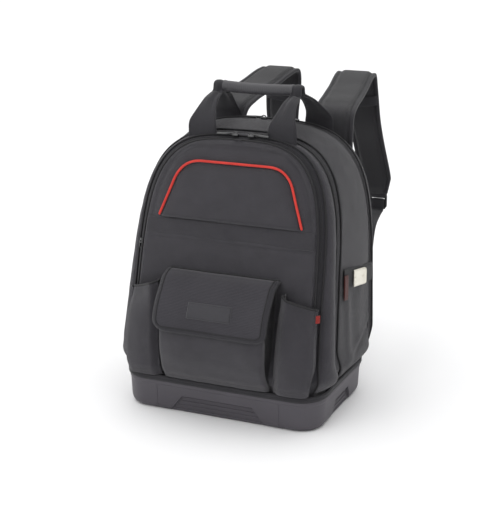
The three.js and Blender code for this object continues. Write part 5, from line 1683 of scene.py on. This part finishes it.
def base_tray():
    """The moulded base: drafted walls, four recesses with ribs in them, and rounded edges."""
    # Pairs of inset and height up the wall, whose foot is rounded.
    outer_foot = [(9.5, 0), (5.8, 1.1), (2.8, 3.6), (0.8, 7.4), (0, 12)]
    inner_foot = [(8.6, 0.5), (6.3, 1.2), (3.3, 3.7), (1.3, 7.5), (0.4, 12)]
    rim = [(0, TRAY_HEIGHT - 7), (-0.9, TRAY_HEIGHT - 6.2), (-0.9, TRAY_HEIGHT)]
    outer = closed_loft("base_tray", [tray_ring(*place) for place in outer_foot + rim])
    cavity = closed_loft("cavity", [tray_ring(TRAY_WALL, TRAY_FLOOR), tray_ring(TRAY_WALL, TRAY_HEIGHT + 3)])
    sides = [(turn, RECESS_FOOT, RECESS_TOP, TRAY_BACK) for turn in (0, 180)]
    sides += [(turn, SIDE_RECESS_FOOT, SIDE_RECESS_TOP, TRAY_HALF) for turn in (90, 270)]
    tools = [("DIFFERENCE", cavity)]
    for turn, foot, top, half in sides:
        backing = recess_block(turn, foot + TRAY_WALL, top + TRAY_WALL, RECESS_HEIGHT + TRAY_WALL,
                               RECESS_DEPTH + TRAY_WALL, half, 0.5)
        inner_wall = [tray_ring(*place) for place in [*inner_foot, (0.4, TRAY_HEIGHT - 1)]]
        boolean(backing, "INTERSECT", closed_loft("wall", inner_wall))
        recess = recess_block(turn, foot, top, RECESS_HEIGHT, RECESS_DEPTH, half)
        tools += [("UNION", backing), ("DIFFERENCE", recess)]
    for kind, tool in tools:
        boolean(outer, kind, tool)
    bevel = outer.modifiers.new("Rounded edges", "BEVEL")
    bevel.width, bevel.segments, bevel.limit_method, bevel.angle_limit = 1.3 * MM, 3, "ANGLE", radians(28)
    bevel.use_clamp_overlap = True
    outer.data = evaluated(outer)
    outer.modifiers.clear()
    outer.data.set_sharp_from_angle(angle=radians(42))
    settle(outer, "moulded_base", "moulded_base", "base_tray")
    outer.data.set_sharp_from_angle(angle=radians(42))
    for turn, foot, top, half in sides:
        recess_ribs(turn, foot, top, half)
    for k, (x, y) in enumerate(product((-109, 109), (-1, 1))):
        z = np.linspace(TRAY_CHAMFER, TRAY_HEIGHT - 8, 12)
        line = np.stack([np.full(12, x), y * (TRAY_BACK - TRAY_DRAFT * (1 - z / TRAY_HEIGHT)), z], 1)
        cord_along(f"mould_line_{k + 1}", line, np.tile([0.0, y, 0.0], (12, 1)), 0.7, "moulded_base",
                   "moulded_base")


def boolean(piece, kind, tool):
    cut = piece.modifiers.new("Cut", "BOOLEAN")
    cut.operation, cut.object, cut.solver = kind, tool, "EXACT"
    piece.data = evaluated(piece)
    piece.modifiers.clear()
    bpy.data.objects.remove(tool)


def recess_ribs(turn, foot, top, half):
    """Rounded ribs across the wall of a recess."""
    spin = Matrix.Rotation(radians(turn), 3, "Z")
    for k in range(4):
        z = RECESS_HEIGHT * (k + 0.75) / 4.2
        reach = mix(foot, top, z / RECESS_HEIGHT) - 5
        y = -half + RECESS_DEPTH + 0.2
        path = np.array([[x, y, z] for x in np.linspace(-reach, reach, 40)]) @ np.array(spin.transposed())
        up = np.tile([0.0, 0.0, 1.0], (40, 1))
        out = np.tile(np.array([0.0, -1.0, 0.0]) @ np.array(spin.transposed()), (40, 1))
        profile = flat_profile(2.0, 2.6, 40, points=9)
        ends = np.minimum(np.arange(40), np.arange(40)[::-1]) / 3
        profile *= np.sqrt(np.clip(ends + 0.15, 0.15, 1))[:, None, None]
        swept(f"base_rib_{turn}_{k + 1}", path, up, out, profile, "moulded_base", "moulded_base")


def base_binding():
    """The seam band above the base: folded webbing with two rows of stitches."""
    middle = BINDING_PROUD - BINDING_WALL / 2
    ring = ring_around(-middle, 0.0, 24)
    ring = np.array([*ring, ring[0]])
    ring = resampled(ring, 301)[:-1]
    tangent = unit(np.roll(ring, -1, 0) - np.roll(ring, 1, 0))
    out = unit(np.stack([tangent[:, 1], -tangent[:, 0], np.zeros(len(ring))], 1))
    up = np.array([0, 0, 1])
    # The folded webbing's section: how high above the rim and how proud of the base
    section = np.array([[0.2, 1.2], [0.9, 2.6], [3, 3.2], [5, 2.9], [7, 3.1], [9.2, 3.2],
                        [BINDING_HEIGHT + 0.6, 1.6], [BINDING_HEIGHT + 0.4, 0.2]])
    z, proud = RIM + section[:, 0], section[:, 1] - middle
    points = ring[None] + out[None] * proud[:, None, None] + up * z[:, None, None]
    wave, rise = ripple(points, 22, 101) * 0.5, ripple(points, 30, 102) * 0.5
    points = points + out[None] * wave[..., None] + up * rise[..., None]
    closed = np.concatenate([points, points[:, :1]], axis=1)
    patch = Patch(closed, lambda p: p - [0, 0, 57.0])
    patch.piece("base_binding", "edge_webbing", "edge_webbing", "base_binding", thick=2.2, merge=True)
    run = np.linspace(0, 1, 1200)
    for row in (0.36, 0.64):
        STITCHES.append(patch.at(np.full_like(run, row), run, 0.2))


# The whole bag

bands = body_bands()
zip_teeth(bands)
pipings()
panel = front_panel()
lower_panel()
front_hem()
upper_panel(panel)
front_pocket()
pocket_flap()
side_pocket(1)
side_pocket(-1)
side_straps()
handle()
back_wall()
back_pad()
yoke()
shoulder_straps()
zip_sliders()
flank_slider(bands["front_zip"])
base_tray()
base_binding()
half_way = len(STITCHES) // 2
for name, rows in (("body_stitches", STITCHES[:half_way]), ("strap_stitches", STITCHES[half_way:])):
    beads(name, rows, "thread", "edge_webbing", THREAD_PITCH, STITCH_LENGTH, STITCH_WIDTH, STITCH_HEIGHT)

# Floor, light and camera


def floor():
    mesh = bpy.data.meshes.new("floor")
    half = 9.0
    corners = [(x * half, y * half, 0) for x, y in ((-1, -1), (1, -1), (1, 1), (-1, 1))]
    mesh.from_pydata(corners, [], [(0, 1, 2, 3)])
    made = new_object("floor", mesh)
    f = Finish("pale floor", 0.7, specular_ior_level=0.15)
    cloud = f.noise(f.object_place(), 0.8, 1.0)
    f.set("Base Color", f.blend(cloud, (0.93, 0.93, 0.935), (0.95, 0.95, 0.955)))
    mesh.materials.append(f.material)


def area_light(name, place, aim, size, power):
    lamp = bpy.data.lights.new(name, "AREA")
    lamp.shape, lamp.size, lamp.size_y, lamp.energy = "RECTANGLE", *size, power
    made = new_object(name, lamp)
    made.location = place
    made.rotation_euler = (Vector(aim) - Vector(place)).to_track_quat("-Z", "Y").to_euler()


def studio():
    world = bpy.data.worlds.new("studio")
    bpy.context.scene.world = world
    world.use_nodes = True
    background = world.node_tree.nodes["Background"].inputs
    background["Color"].default_value = (1.0, 1.0, 1.0, 1.0)
    background["Strength"].default_value = SKY_STRENGTH
    area_light("key light", KEY_PLACE, KEY_AIM, KEY_SIZE, KEY_POWER)
    sun = bpy.data.lights.new("overhead light", "SUN")
    sun.energy, sun.angle = OVERHEAD_ENERGY, radians(OVERHEAD_SPREAD)
    new_object("overhead light", sun).rotation_euler = (*map(radians, OVERHEAD_TILT), 0)
    bpy.context.scene.view_settings.view_transform = "Standard"


def photo_camera():
    turn, rise = radians(CAMERA_TURN), radians(CAMERA_RISE)
    back = Vector((sin(turn) * cos(rise), -cos(turn) * cos(rise), sin(rise)))
    right = Vector((cos(turn), sin(turn), 0))
    up = back.cross(right)
    target = Vector(CAMERA_TARGET) * MM
    data = bpy.data.cameras.new("photo camera")
    data.sensor_width, data.lens = CAMERA_SENSOR, CAMERA_LENS
    data.clip_end = 50
    made = new_object("photo camera", data)
    place = target + back * CAMERA_DISTANCE * MM
    made.matrix_world = Matrix.Translation(place) @ Matrix((right, up, back)).transposed().to_4x4()
    bpy.context.scene.camera = made


floor()
studio()
photo_camera()
